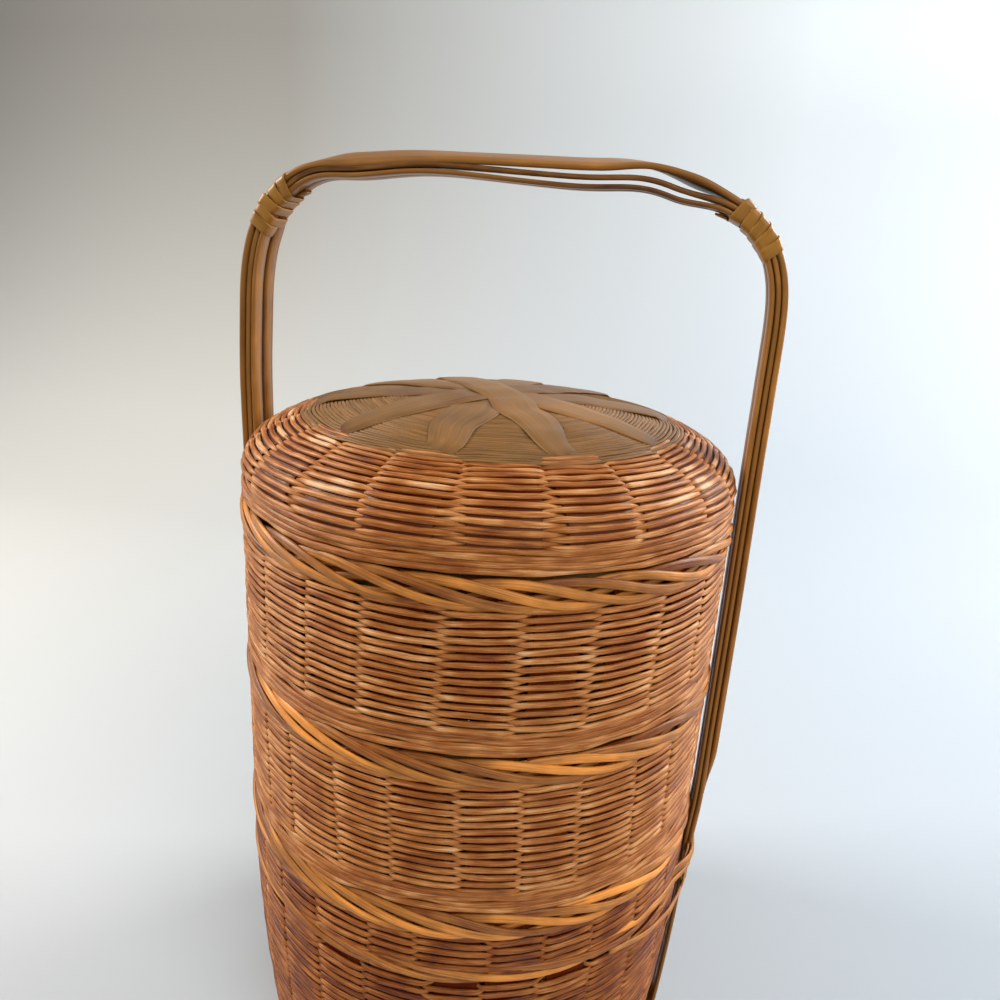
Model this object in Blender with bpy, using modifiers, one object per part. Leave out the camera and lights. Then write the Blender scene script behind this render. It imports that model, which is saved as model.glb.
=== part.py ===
"""Tiered food basket of woven bamboo.

A deep bottom basket, two stacked tiers and a domed lid stand inside a laminated hoop
handle, which passes under the base and is tied to the bottom basket by its waling.
"""
import math

import bmesh
import bpy
from mathutils import Matrix, Vector

# Counts of what repeats
segments = 40
bottom_stake_count = 28
lower_tier_stake_count = 28
upper_tier_stake_count = 24
lid_stake_count = 20
border_strand_count = 3
border_twist_count = 6
points_per_twist = 8
binding_turn_count = 4.5

# Driving sizes of the stack, in metres
wall_radius = 0.0787
bottom_height = 0.1038
tier_height = 0.0510
lid_wall_height = 0.0072
lid_dome_height = 0.0232
fit_gap = 0.0003
weld_distance = 0.00001

# The woven wall, which swells out over each stake, the stakes and the floor
weave_thickness = 0.0034
weave_relief = 0.0011
edge_rounding = 0.0012
stake_width = 0.0070
bottom_stake_phase_share = 0.70
lower_tier_stake_phase_share = 0.23
upper_tier_stake_phase_share = 0.70
lid_stake_width = 0.0120
lid_stake_phase_share = 0.78
stake_thickness = 0.0010
floor_recess = 0.0080
floor_thickness = 0.0020
foot_hoop_thickness = 0.0010

# The taper of the bottom basket and its foot
taper_draw = 0.0061
taper_power = 1.84
foot_height = 0.0060
foot_thickness = 0.0034
foot_rounding = 0.0006
notch_height = 0.0040

# The twined border and the collar hoop at the top of each vessel
border_height = 0.0093
border_overhang = 0.0009
border_strand_width = 0.0032
border_strand_thickness = 0.0017
collar_thickness = 0.0016
collar_depth = 0.0160
collar_rise = 0.0060

# The thick waling that ties the handle to the bottom basket
waling_drop = 0.0133
waling_strand_diameter = 0.0028
waling_strand_gap = 0.0005
waling_groove_depth = 0.0017
tie_plateau_width = 0.0170
tie_ramp_width = 0.0170

# The lid
lid_roundness = 2.35
crown_radius_share = 0.737
crown_thickness = 0.0020

# The handle hoop, measured on its outside
handle_clearance = 0.0006
handle_hand_room = 0.0706
handle_arch_rise = 0.0528
handle_roundness = 3.3
handle_strip_width = 0.0115
outer_strip_thickness = 0.0017
middle_strip_thickness = 0.0015
inner_strip_thickness = 0.0013
inner_strip_split = 0.0005
top_spread = 0.0016
top_spread_run = 0.0400
outer_strip_end_rise = 0.0188
middle_strip_end_drop = 0.0172
lean_start_rise = 0.0288
lean_depth = 0.0037
hoop_corner_radius = 0.0127
hoop_floor_gap = 0.0005

# The bindings at the two shoulders of the handle
binding_start = 0.0710
binding_strip_width = 0.0034
binding_strip_thickness = 0.0005
binding_turn_gap = 0.0005
binding_corner_radius = 0.0008

# Steps that set how smooth the curved outlines are
arch_steps = 12
leg_steps = 4
corner_steps = 4
taper_steps = 4
dome_steps = 5
crown_steps = 2
section_steps = 2
strand_bevel_resolution = 0
waling_bevel_resolution = 1

# Heights and radii that follow from the sizes above
lower_tier_base = bottom_height
upper_tier_base = lower_tier_base + tier_height
lid_base = upper_tier_base + tier_height
lid_spring_height = lid_base + lid_wall_height
waling_height = bottom_height - border_height - waling_drop
crown_radius = wall_radius * crown_radius_share
foot_hoop_height = floor_recess - 2 * fit_gap
flat_share = math.cos(math.pi / segments)
stake_outer_radius = (wall_radius - weave_thickness) * flat_share - fit_gap
stake_inner_radius = stake_outer_radius - stake_thickness
collar_outer_radius = stake_inner_radius * flat_share - fit_gap
bundle_thickness = (outer_strip_thickness + middle_strip_thickness
                    + inner_strip_thickness + 2 * fit_gap)
middle_strip_offset = outer_strip_thickness + fit_gap
inner_strip_offset = middle_strip_offset + middle_strip_thickness + fit_gap
handle_half_width = wall_radius + border_overhang + handle_clearance + bundle_thickness
handle_top_height = lid_spring_height + lid_dome_height + handle_hand_room
handle_spring_height = handle_top_height - handle_arch_rise
outer_strip_end_height = waling_height + outer_strip_end_rise
middle_strip_end_height = waling_height - middle_strip_end_drop
lean_start_height = waling_height + lean_start_rise


def clear_scene():
    """Remove what the scene holds before the basket is built."""
    for item in list(bpy.data.objects):
        bpy.data.objects.remove(item, do_unlink=True)


def new_collection(name):
    """Add a collection to the scene."""
    group = bpy.data.collections.new(name)
    bpy.context.scene.collection.children.link(group)
    return group


def linear(channel):
    """Turn one sRGB channel, from 0 to 1, to a linear value."""
    if channel <= 0.04045:
        return channel / 12.92
    return ((channel + 0.055) / 1.055) ** 2.4


def finish(name, colour, roughness):
    """Make a plain material of an sRGB hex colour."""
    material = bpy.data.materials.new(name)
    material.use_nodes = True
    shader = material.node_tree.nodes["Principled BSDF"]
    channels = [int(colour[i:i + 2], 16) / 255 for i in (0, 2, 4)]
    shader.inputs["Base Color"].default_value = [linear(c) for c in channels] + [1]
    shader.inputs["Roughness"].default_value = roughness
    shader.inputs["Metallic"].default_value = 0
    material.diffuse_color = [linear(c) for c in channels] + [1]
    return material


def add_piece(name, data, colour, roughness):
    """Put mesh or curve data into the basket's collection under its own name."""
    data.name = name
    piece = bpy.data.objects.new(name, data)
    basket.objects.link(piece)
    data.materials.clear()
    data.materials.append(finish(name + "_finish", colour, roughness))
    return piece


def turned(name, outline, colour, roughness, closed=True, steps=segments, turn=0):
    """Turn an outline of (radius, height) points that runs down its outer side."""
    mesh = bpy.data.meshes.new(name)
    count = len(outline)
    edge_count = count if closed else count - 1
    edges = [(i, (i + 1) % count) for i in range(edge_count)]
    mesh.from_pydata([(radius, 0, height) for radius, height in outline], edges, [])
    piece = add_piece(name, mesh, colour, roughness)
    screw = piece.modifiers.new("Turn", 'SCREW')
    screw.angle = math.tau
    screw.steps = steps
    screw.render_steps = steps
    screw.use_merge_vertices = True
    screw.merge_threshold = weld_distance
    screw.use_smooth_shade = True
    piece.rotation_euler = (0, 0, turn)
    return piece


def first_stake(count, phase_share):
    """Azimuth of the first stake of a vessel."""
    return math.tau * phase_share / count


def woven_wall(name, outline_at, count, phase_share, colour):
    """Loft a wall through a full outline at each stake and a hollow one between stakes."""
    shape = bmesh.new()
    loops = []
    for step in range(2 * count):
        around = first_stake(count, phase_share) + math.pi * step / count
        outline = outline_at(weave_relief * (step % 2))
        loops.append([shape.verts.new((radius * math.cos(around),
                                       radius * math.sin(around), height))
                      for radius, height in outline])
    for first, second in zip(loops, loops[1:] + loops[:1]):
        for corner in range(len(first)):
            before = corner - 1
            shape.faces.new((first[before], first[corner], second[corner], second[before]))
    bmesh.ops.recalc_face_normals(shape, faces=shape.faces)
    mesh = bpy.data.meshes.new(name)
    shape.to_mesh(mesh)
    shape.free()
    return add_piece(name, mesh, colour, 0.6)


def evaluated_mesh(piece):
    """Return the welded mesh that a curve object makes, in world space."""
    graph = bpy.context.evaluated_depsgraph_get()
    mesh = bpy.data.meshes.new_from_object(piece.evaluated_get(graph))
    mesh.transform(piece.matrix_world)
    shape = bmesh.new()
    shape.from_mesh(mesh)
    bmesh.ops.remove_doubles(shape, verts=shape.verts, dist=weld_distance)
    bmesh.ops.recalc_face_normals(shape, faces=shape.faces)
    shape.to_mesh(mesh)
    shape.free()
    return mesh


def flat_outline(name, outlines, thickness):
    """Make a filled flat curve in the upright XZ plane, with its thickness along Y."""
    curve = bpy.data.curves.new(name, 'CURVE')
    curve.dimensions = '2D'
    curve.fill_mode = 'BOTH'
    curve.extrude = thickness / 2
    for outline in outlines:
        spline = curve.splines.new('POLY')
        spline.points.add(len(outline) - 1)
        for point, (across, up) in zip(spline.points, outline):
            point.co = (across, up, 0, 1)
        spline.use_cyclic_u = True
    piece = bpy.data.objects.new(name, curve)
    piece.rotation_euler = (math.pi / 2, 0, 0)
    basket.objects.link(piece)
    bpy.context.view_layer.update()
    return piece


def upright_strip(name, outlines, thickness, centre_y, colour, roughness):
    """Make a strip with an upright outline, centred at a distance along Y."""
    guide = flat_outline(name + "_outline", outlines, thickness)
    mesh = evaluated_mesh(guide)
    bpy.data.objects.remove(guide, do_unlink=True)
    mesh.transform(Matrix.Translation((0, centre_y, 0)))
    return add_piece(name, mesh, colour, roughness)


def stake_gap_cutter(name, count, width, phase_share):
    """Make the wedges that part one stake from the next, from the base to the lid."""
    half_step = math.pi / count
    far = 2 * wall_radius
    apex = Vector((width / 2 / math.tan(half_step), width / 2))
    corner = Vector((far, width / 2))
    outlines = []
    for index in range(count):
        turn = Matrix.Rotation(2 * half_step * (index + phase_share), 2)
        back = Matrix.Rotation(2 * half_step * (index + 1 + phase_share), 2)
        mirrored = Vector((corner.x, -corner.y))
        outlines.append([tuple(turn @ apex), tuple(turn @ corner), tuple(back @ mirrored)])
    guide = flat_outline(name + "_outline", outlines, 2 * handle_top_height)
    guide.rotation_euler = (0, 0, 0)
    bpy.context.view_layer.update()
    cutter = bpy.data.objects.new(name, evaluated_mesh(guide))
    bpy.data.objects.remove(guide, do_unlink=True)
    cutters.objects.link(cutter)
    cutter.hide_render = True
    cutter.display_type = 'WIRE'
    return cutter


def star_of_stakes(name, outline, count, width, phase_share, colour):
    """Turn a thin cup or dome and cut it into stakes that meet at its middle."""
    piece = turned(name, outline, colour, 0.55, closed=False, steps=2 * count,
                   turn=first_stake(count, phase_share))
    gaps = stake_gap_cutter(name + "_gap_cutter", count, width, phase_share)
    cut = piece.modifiers.new("Gaps", 'BOOLEAN')
    cut.operation = 'DIFFERENCE'
    cut.object = gaps
    return piece


def closed_strand(name, path, diameter, resolution, colour):
    """Make one closed round strand along a path of points."""
    curve = bpy.data.curves.new(name, 'CURVE')
    curve.dimensions = '3D'
    curve.bevel_depth = diameter / 2
    curve.bevel_resolution = resolution
    spline = curve.splines.new('POLY')
    spline.points.add(len(path) - 1)
    for point, place in zip(spline.points, path):
        point.co = (*place, 1)
    spline.use_cyclic_u = True
    spline.use_smooth = True
    return add_piece(name, curve, colour, 0.5)


def bottom_radius(height):
    """Outside radius of the bottom basket's weave at a height."""
    if height >= waling_height:
        return wall_radius
    share = (waling_height - height) / waling_height
    return wall_radius - taper_draw * share ** taper_power


def vessel_border(prefix, top):
    """Twine the strands of a border whose top lies at a height."""
    reach = wall_radius + border_overhang
    swing = (border_strand_thickness + fit_gap) / math.sqrt(3)
    middle_radius = reach - swing - border_strand_thickness / 2
    rise = (border_height - border_strand_width) / 2
    flatten = border_strand_width / border_strand_thickness
    count = border_twist_count * points_per_twist
    for strand in range(border_strand_count):
        lag = math.tau * strand / border_strand_count
        path = []
        for step in range(count):
            around = math.tau * step / count
            twist = border_twist_count * around + lag
            radius = middle_radius + swing * math.cos(twist)
            height = rise * math.sin(twist) / flatten
            path.append((radius * math.cos(around), radius * math.sin(around), height))
        name = prefix + "_border_strand_" + str(strand + 1)
        piece = closed_strand(name, path, border_strand_thickness,
                              strand_bevel_resolution, "b07a40")
        piece.scale = (1, 1, flatten)
        piece.location = (0, 0, top - border_height / 2)


def vessel_collar(name, top):
    """Turn the flat hoop inside a border, which locates the vessel above."""
    outer = collar_outer_radius
    inner = outer - collar_thickness
    high = top + collar_rise
    low = top - collar_depth
    outline = [(outer, high), (outer, low), (inner, low), (inner, high)]
    return turned(name, outline, "b98a52", 0.45)


def vessel_floor(prefix, base, radius):
    """Turn the woven floor disc that lies on the stakes inside a vessel."""
    low = base + floor_recess + stake_thickness + fit_gap
    high = low + floor_thickness
    outline = [(0, high), (radius, high), (radius, low), (0, low)]
    return turned(prefix + "_floor", outline, "a5703f", 0.6, closed=False)


def vessel_stakes(prefix, base, outer_line, count, phase_share):
    """Cut the stakes, which cross under the floor and bend up along the wall."""
    low = base + floor_recess
    inner_line = [(radius - stake_thickness, height)
                  for radius, height in reversed(outer_line[1:])]
    corner = (outer_line[0][0] - stake_thickness, low + stake_thickness)
    outline = [(0, low), outer_line[0]] + outer_line[1:] + inner_line
    outline += [corner, (0, low + stake_thickness)]
    outline.reverse()
    return star_of_stakes(prefix + "_stakes", outline, count, stake_width, phase_share,
                          "8a5a33")


def foot_hoop(prefix, base):
    """Turn the flat hoop inside the foot of a tier, under the bend of its stakes."""
    outer = (wall_radius - weave_thickness) * flat_share - fit_gap
    inner = outer - foot_hoop_thickness
    low = base + fit_gap
    high = low + foot_hoop_height
    outline = [(outer, high), (outer, low), (inner, low), (inner, high)]
    return turned(prefix + "_foot_hoop", outline, "b98a52", 0.5)


def tier_wall_outline(base, hollow):
    """Outline of a tier's wall, with its outer side moved in by a hollow's depth."""
    low = base + fit_gap
    high = base + tier_height - border_height - fit_gap
    outer = wall_radius - hollow
    inner = wall_radius - weave_thickness
    rounding = edge_rounding
    return [(outer - rounding, high), (outer, high - rounding),
            (outer, low + rounding), (outer - rounding, low),
            (inner, low), (inner, high)]


def tier(prefix, base, count, phase_share):
    """Build one tier: its wall, stakes, floor, border and collar."""
    top = base + tier_height
    woven_wall(prefix + "_wall", lambda hollow: tier_wall_outline(base, hollow), count,
               phase_share, "9c6238")
    stake = [(stake_outer_radius, base + floor_recess),
             (stake_outer_radius, top - fit_gap)]
    vessel_stakes(prefix, base, stake, count, phase_share)
    vessel_floor(prefix, base, stake_inner_radius * flat_share - fit_gap)
    foot_hoop(prefix, base)
    vessel_border(prefix, top)
    vessel_collar(prefix + "_collar", top)


def bottom_wall_outline(hollow):
    """Outline of the bottom basket's wall, with the groove that beds its waling."""
    low = foot_height + fit_gap
    high = bottom_height - border_height - fit_gap
    groove_half = waling_strand_diameter + waling_strand_gap / 2 + fit_gap
    groove_low = waling_height - groove_half
    groove_high = waling_height + groove_half
    grooved = wall_radius - waling_groove_depth
    upper_radius = wall_radius - hollow
    outer = [(upper_radius - edge_rounding, high), (upper_radius, high - edge_rounding),
             (upper_radius, groove_high), (grooved, groove_high),
             (grooved, groove_low), (bottom_radius(groove_low) - hollow, groove_low)]
    for step in range(1, taper_steps + 1):
        height = groove_low + (low - groove_low) * step / taper_steps
        outer.append((bottom_radius(height) - hollow, height))
    inner = []
    for step in range(taper_steps + 1):
        height = low + (waling_height - low) * step / taper_steps
        inner.append((bottom_radius(height) - weave_thickness, height))
    inner.append((wall_radius - weave_thickness, high))
    return outer + inner


def stake_line(height):
    """Outside of the bottom basket's stakes at a height."""
    return (bottom_radius(height) - weave_thickness) * flat_share - fit_gap


def bottom_stake_line():
    """Outside of one stake of the bottom basket, from the floor to its top."""
    low = floor_recess
    heights = [low + (waling_height - low) * step / taper_steps
               for step in range(taper_steps + 1)]
    heights.append(bottom_height - fit_gap)
    return [(stake_line(height), height) for height in heights]


def foot_ring():
    """Turn the foot ring and cut the two notches that the handle passes through."""
    outer = bottom_radius(0)
    inner = outer - foot_thickness
    outline = [(outer, foot_height), (outer, foot_rounding), (outer - foot_rounding, 0),
               (inner + foot_rounding, 0), (inner, foot_rounding), (inner, foot_height)]
    piece = turned("bottom_foot_ring", outline, "94602f", 0.55)
    reach = 2 * wall_radius
    width = handle_strip_width + 4 * fit_gap
    bpy.ops.mesh.primitive_cube_add(size=1)
    cutter = bpy.context.object
    cutter.name = "notch_cutter"
    cutter.dimensions = (reach, width, 2 * notch_height)
    for group in list(cutter.users_collection):
        group.objects.unlink(cutter)
    cutters.objects.link(cutter)
    cutter.hide_render = True
    cutter.display_type = 'WIRE'
    cut = piece.modifiers.new("Notches", 'BOOLEAN')
    cut.operation = 'DIFFERENCE'
    cut.object = cutter
    return piece


def waling_radius(around, seated_radius, tie_radius):
    """Radius of a waling strand, which bulges out over each leg of the handle."""
    to_leg = min(abs(math.remainder(around, math.tau)),
                 abs(math.remainder(around - math.pi, math.tau)))
    arc = to_leg * tie_radius
    share = (tie_plateau_width / 2 + tie_ramp_width - arc) / tie_ramp_width
    share = max(0, min(1, share))
    eased = share * share * (3 - 2 * share)
    return seated_radius + (tie_radius - seated_radius) * eased


def bottom_waling():
    """Lay the two thick strands of the waling in their groove and over the handle."""
    half = waling_strand_diameter / 2
    seated_radius = ((wall_radius - waling_groove_depth) + fit_gap + half) / flat_share
    leg_outside = hoop_outside_radius(waling_height) - outer_strip_thickness - fit_gap
    tie_radius = math.hypot(leg_outside, handle_strip_width / 2) + fit_gap + half
    angles = [math.tau * step / segments for step in range(segments)]
    bulge = (tie_plateau_width / 2 + tie_ramp_width) / tie_radius
    for leg in (0, math.pi):
        for step in range(math.ceil(bulge * segments / math.tau)):
            offset = math.tau * (step + 0.5) / segments
            angles.extend([leg + offset, leg - offset])
    turns = sorted(set(round(angle % math.tau, 6) for angle in angles))
    lift = (waling_strand_diameter + waling_strand_gap) / 2
    heights = {"lower": waling_height - lift, "upper": waling_height + lift}
    for label, height in heights.items():
        path = []
        for around in turns:
            radius = waling_radius(around, seated_radius, tie_radius)
            path.append((radius * math.cos(around), radius * math.sin(around), height))
        closed_strand("bottom_waling_" + label, path, waling_strand_diameter,
                      waling_bevel_resolution, "b5814a")


def bottom_basket():
    """Build the bottom basket and its foot."""
    woven_wall("bottom_wall", bottom_wall_outline, bottom_stake_count,
               bottom_stake_phase_share, "9c6238")
    vessel_stakes("bottom", 0, bottom_stake_line(), bottom_stake_count,
                  bottom_stake_phase_share)
    floor_radius = (stake_line(floor_recess) - stake_thickness) * flat_share - fit_gap
    vessel_floor("bottom", 0, floor_radius)
    foot_ring()
    vessel_border("bottom", bottom_height)
    vessel_collar("bottom_collar", bottom_height)
    bottom_waling()


def dome_point(angle, inset):
    """Point of the lid's outside, moved in by an inset, at an angle from its spring line."""
    radius = (wall_radius - inset) * math.cos(angle) ** (2 / lid_roundness)
    rise = (lid_dome_height - inset) * math.sin(angle) ** (2 / lid_roundness)
    return radius, lid_spring_height + rise


def dome_height(radius):
    """Height of the lid's outside at a radius."""
    share = (radius / wall_radius) ** lid_roundness
    return lid_spring_height + lid_dome_height * (1 - share) ** (1 / lid_roundness)


def dome_angle(radius, inset):
    """Angle at which the lid's moved-in surface has a radius."""
    return math.acos((radius / (wall_radius - inset)) ** (lid_roundness / 2))


def dome_line(inset, edge_radius, steps):
    """Points of the dome from the crown's edge out to the spring line."""
    start = dome_angle(edge_radius, inset)
    return [dome_point(start * (1 - step / steps), inset) for step in range(steps + 1)]


def lid_wall_outline(hollow):
    """Outline of the lid's woven shoulder and wall, open at the crown."""
    low = lid_base + fit_gap
    edge = crown_radius + 2 * fit_gap + stake_thickness
    outer = dome_line(hollow, edge, dome_steps)
    rounding = edge_rounding
    rim = [(wall_radius - hollow, low + rounding), (wall_radius - hollow - rounding, low),
           (wall_radius - weave_thickness, low)]
    inner = list(reversed(dome_line(weave_thickness, edge, dome_steps)))
    return outer + rim + inner


def lid_crown():
    """Turn the finely woven disc at the middle of the lid, under its splits."""
    depth = stake_thickness + fit_gap
    radii = [crown_radius * step / crown_steps for step in range(crown_steps + 1)]
    upper = [(radius, dome_height(radius) - depth) for radius in radii]
    lower = [(radius, height - crown_thickness) for radius, height in reversed(upper)]
    return turned("lid_crown", upper + lower, "8d6547", 0.65, closed=False,
                  steps=2 * lid_stake_count,
                  turn=first_stake(lid_stake_count, lid_stake_phase_share))


def lid_stakes():
    """Cut the lid's splits, which lie on the crown and dive under the coarse weave."""
    inset = weave_thickness + fit_gap
    deeper = inset + stake_thickness
    turn_in = crown_radius + fit_gap
    turn_out = turn_in + stake_thickness
    low = lid_base + fit_gap
    radii = [turn_in * step / crown_steps for step in range(crown_steps + 1)]
    upper = [(radius, dome_height(radius)) for radius in radii]
    upper.append((turn_out, dome_height(turn_out)))
    outer = dome_line(inset, turn_out, dome_steps)
    inner = list(reversed(dome_line(deeper, turn_in, dome_steps)))
    crown = [(radius, height - stake_thickness) for radius, height in reversed(upper[:-1])]
    rim = [(wall_radius - inset, low), (wall_radius - deeper, low)]
    outline = upper + outer + rim + inner + crown
    return star_of_stakes("lid_stakes", outline, lid_stake_count, lid_stake_width,
                          lid_stake_phase_share, "8f6a4c")


def lid():
    """Build the lid."""
    woven_wall("lid_wall", lid_wall_outline, lid_stake_count, lid_stake_phase_share,
               "9a6440")
    lid_crown()
    lid_stakes()


def hoop_outside_radius(height):
    """Half width of the hoop's leg at a height below its spring line."""
    share = (lean_start_height - height) / (lean_start_height - hoop_corner_height())
    share = max(0, min(1, share))
    return handle_half_width - lean_depth * share * share


def hoop_corner_height():
    """Height at which a leg starts to curve in under the base."""
    return hoop_floor_gap - inner_strip_offset + hoop_corner_radius


def hoop_half():
    """Outside points of half the hoop, from its top down a leg and under the base."""
    rise = handle_top_height - handle_spring_height
    points = []
    for step in range(arch_steps + 1):
        angle = math.pi / 2 * (1 - step / arch_steps)
        across = handle_half_width * math.cos(angle) ** (2 / handle_roundness)
        up = rise * math.sin(angle) ** (2 / handle_roundness)
        points.append((across, handle_spring_height + up))
    points[0] = (0, handle_top_height)
    low = hoop_corner_height()
    heights = [lean_start_height, outer_strip_end_height, middle_strip_end_height]
    for step in range(1, leg_steps + 1):
        heights.append(handle_spring_height
                       + (lean_start_height - handle_spring_height) * step / leg_steps)
        heights.append(lean_start_height + (low - lean_start_height) * step / leg_steps)
    for height in sorted(set(heights), reverse=True):
        points.append((hoop_outside_radius(height), height))
    centre = points[-1][0] - hoop_corner_radius
    for step in range(1, corner_steps + 1):
        angle = math.pi / 2 * step / corner_steps
        points.append((centre + hoop_corner_radius * math.cos(angle),
                       low - hoop_corner_radius * math.sin(angle)))
    points.append((0, low - hoop_corner_radius))
    return points


def inward_normals(points):
    """Unit normals of the half hoop that point to its inside."""
    normals = []
    last = len(points) - 1
    for index in range(len(points)):
        before = Vector(points[max(index - 1, 0)])
        after = Vector(points[min(index + 1, last)])
        along = (after - before).normalized()
        normals.append(Vector((along.y, -along.x)))
    normals[0] = Vector((0, -1))
    normals[last] = Vector((0, 1))
    return normals


def lengths_along(points):
    """Length from the hoop's top to each of its points."""
    lengths = [0]
    for first, second in zip(points, points[1:]):
        lengths.append(lengths[-1] + (Vector(second) - Vector(first)).length)
    return lengths


def spread_share(length):
    """How far the hoop's layers stand apart, from 1 at its top to 0 at a binding."""
    share = (binding_start - length) / top_spread_run
    share = max(0, min(1, share))
    return share * share * (3 - 2 * share)


def layer_line(depth, layer):
    """Points of the half hoop moved in by a depth, with the spread of its layer."""
    points = hoop_half()
    lines = zip(points, inward_normals(points), lengths_along(points))
    moved = []
    for point, normal, length in lines:
        shift = depth + layer * top_spread * spread_share(length)
        moved.append(Vector(point) + normal * shift)
    return moved


def mirrored_line(half):
    """The whole line from the left end over the top to the right end."""
    left = [(-point.x, point.y) for point in reversed(half[1:])]
    return left + [(point.x, point.y) for point in half]


def open_strip(name, offset, layer, thickness, end_height, colour):
    """Make a strip of the handle that ends on both legs at a height."""
    points = hoop_half()
    kept = 1 + max(i for i, point in enumerate(points) if point[1] >= end_height)
    outside = mirrored_line(layer_line(offset, layer)[:kept])
    inside = mirrored_line(layer_line(offset + thickness, layer)[:kept])
    outline = outside + list(reversed(inside))
    return upright_strip(name, [outline], handle_strip_width, 0, colour, 0.45)


def closed_strip(name, centre_y, width, colour):
    """Make an inner strip of the handle, which runs on under the base."""
    outside = mirrored_line(layer_line(inner_strip_offset, 2))
    deeper = inner_strip_offset + inner_strip_thickness
    inside = mirrored_line(layer_line(deeper, 2))
    outlines = [outside[:-1], inside[:-1]]
    return upright_strip(name, outlines, width, centre_y, colour, 0.45)


def bundle_frame(lengths, points, normals, length):
    """Place and inward normal of the hoop's outside at a length from its top."""
    index = max(i for i, value in enumerate(lengths[:-1]) if value <= length)
    share = (length - lengths[index]) / (lengths[index + 1] - lengths[index])
    place = Vector(points[index]).lerp(Vector(points[index + 1]), share)
    normal = normals[index].lerp(normals[index + 1], share).normalized()
    return place, normal


def binding_section():
    """Points and normals round the strips' bundle, with the share of its girth at each."""
    half_depth = bundle_thickness / 2 + fit_gap
    half_width = handle_strip_width / 2 + fit_gap
    radius = binding_corner_radius
    entries = []
    for corner, (sign_a, sign_b) in enumerate(((1, 1), (-1, 1), (-1, -1), (1, -1))):
        for step in range(section_steps + 1):
            angle = math.pi / 2 * (corner + step / section_steps)
            normal = Vector((math.cos(angle), math.sin(angle)))
            centre = Vector((sign_a * (half_depth - radius), sign_b * (half_width - radius)))
            entries.append((centre + normal * radius, normal))
    girths = [0]
    for (first, _), (second, _) in zip(entries, entries[1:] + entries[:1]):
        girths.append(girths[-1] + (second - first).length)
    return entries, [girth / girths[-1] for girth in girths[:-1]]


def binding_rows(side):
    """Rows of four corners along a flat strip wound round one shoulder."""
    points = hoop_half()
    normals = inward_normals(points)
    lengths = lengths_along(points)
    entries, shares = binding_section()
    pitch = binding_strip_width + binding_turn_gap
    row_count = int(binding_turn_count * len(entries))
    rows = []
    for row in range(row_count):
        turn, index = divmod(row, len(entries))
        section, out = entries[index]
        middle = binding_start + binding_strip_width / 2 + pitch * (turn + shares[index])
        corners = []
        for along, lift in ((-1, 0), (1, 0), (1, 1), (-1, 1)):
            length = middle + along * binding_strip_width / 2
            place, normal = bundle_frame(lengths, points, normals, length)
            spot = section + out * lift * binding_strip_thickness
            inward = bundle_thickness / 2 + spot.x
            flat = place + normal * inward
            corners.append(Vector((side * flat.x, spot.y, flat.y)))
        rows.append(corners)
    return rows


def least_turn_gap(rows):
    """Least distance between the facing edges of one turn and the next."""
    per_turn = len(binding_section()[0])
    gaps = [(rows[i + per_turn][0] - rows[i][1]).length
            for i in range(len(rows) - per_turn)]
    return min(gaps)


def binding(name, side):
    """Wind one flat strip round a shoulder of the handle."""
    rows = binding_rows(side)
    print(name, "least gap between turns, metres:", round(least_turn_gap(rows), 6))
    shape = bmesh.new()
    loops = [[shape.verts.new(corner) for corner in row] for row in rows]
    for first, second in zip(loops, loops[1:]):
        for corner in range(4):
            following = (corner + 1) % 4
            shape.faces.new((first[corner], first[following],
                             second[following], second[corner]))
    shape.faces.new(loops[0])
    shape.faces.new(loops[-1])
    bmesh.ops.recalc_face_normals(shape, faces=shape.faces)
    mesh = bpy.data.meshes.new(name)
    shape.to_mesh(mesh)
    shape.free()
    return add_piece(name, mesh, "c8963f", 0.4)


def handle():
    """Build the laminated hoop and its two bindings."""
    open_strip("handle_outer_strip", 0, 0, outer_strip_thickness,
               outer_strip_end_height, "8a5a34")
    open_strip("handle_middle_strip", middle_strip_offset, 1, middle_strip_thickness,
               middle_strip_end_height, "7a4c2b")
    width = (handle_strip_width - inner_strip_split) / 2
    centre = (width + inner_strip_split) / 2
    closed_strip("handle_inner_strip_front", -centre, width, "94643c")
    closed_strip("handle_inner_strip_back", centre, width, "7f5230")
    binding("handle_binding_left", -1)
    binding("handle_binding_right", 1)


clear_scene()
basket = new_collection("tiered_food_basket")
cutters = new_collection("cutters")
bottom_basket()
tier("lower_tier", lower_tier_base, lower_tier_stake_count, lower_tier_stake_phase_share)
tier("upper_tier", upper_tier_base, upper_tier_stake_count, upper_tier_stake_phase_share)
lid()
handle()
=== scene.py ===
"""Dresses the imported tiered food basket: woven strands, flat splits, hoops and bindings."""

import math

import bpy
import numpy as np
from bpy.props import FloatProperty, FloatVectorProperty, IntProperty, PointerProperty
from mathutils import Matrix, Vector


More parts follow.
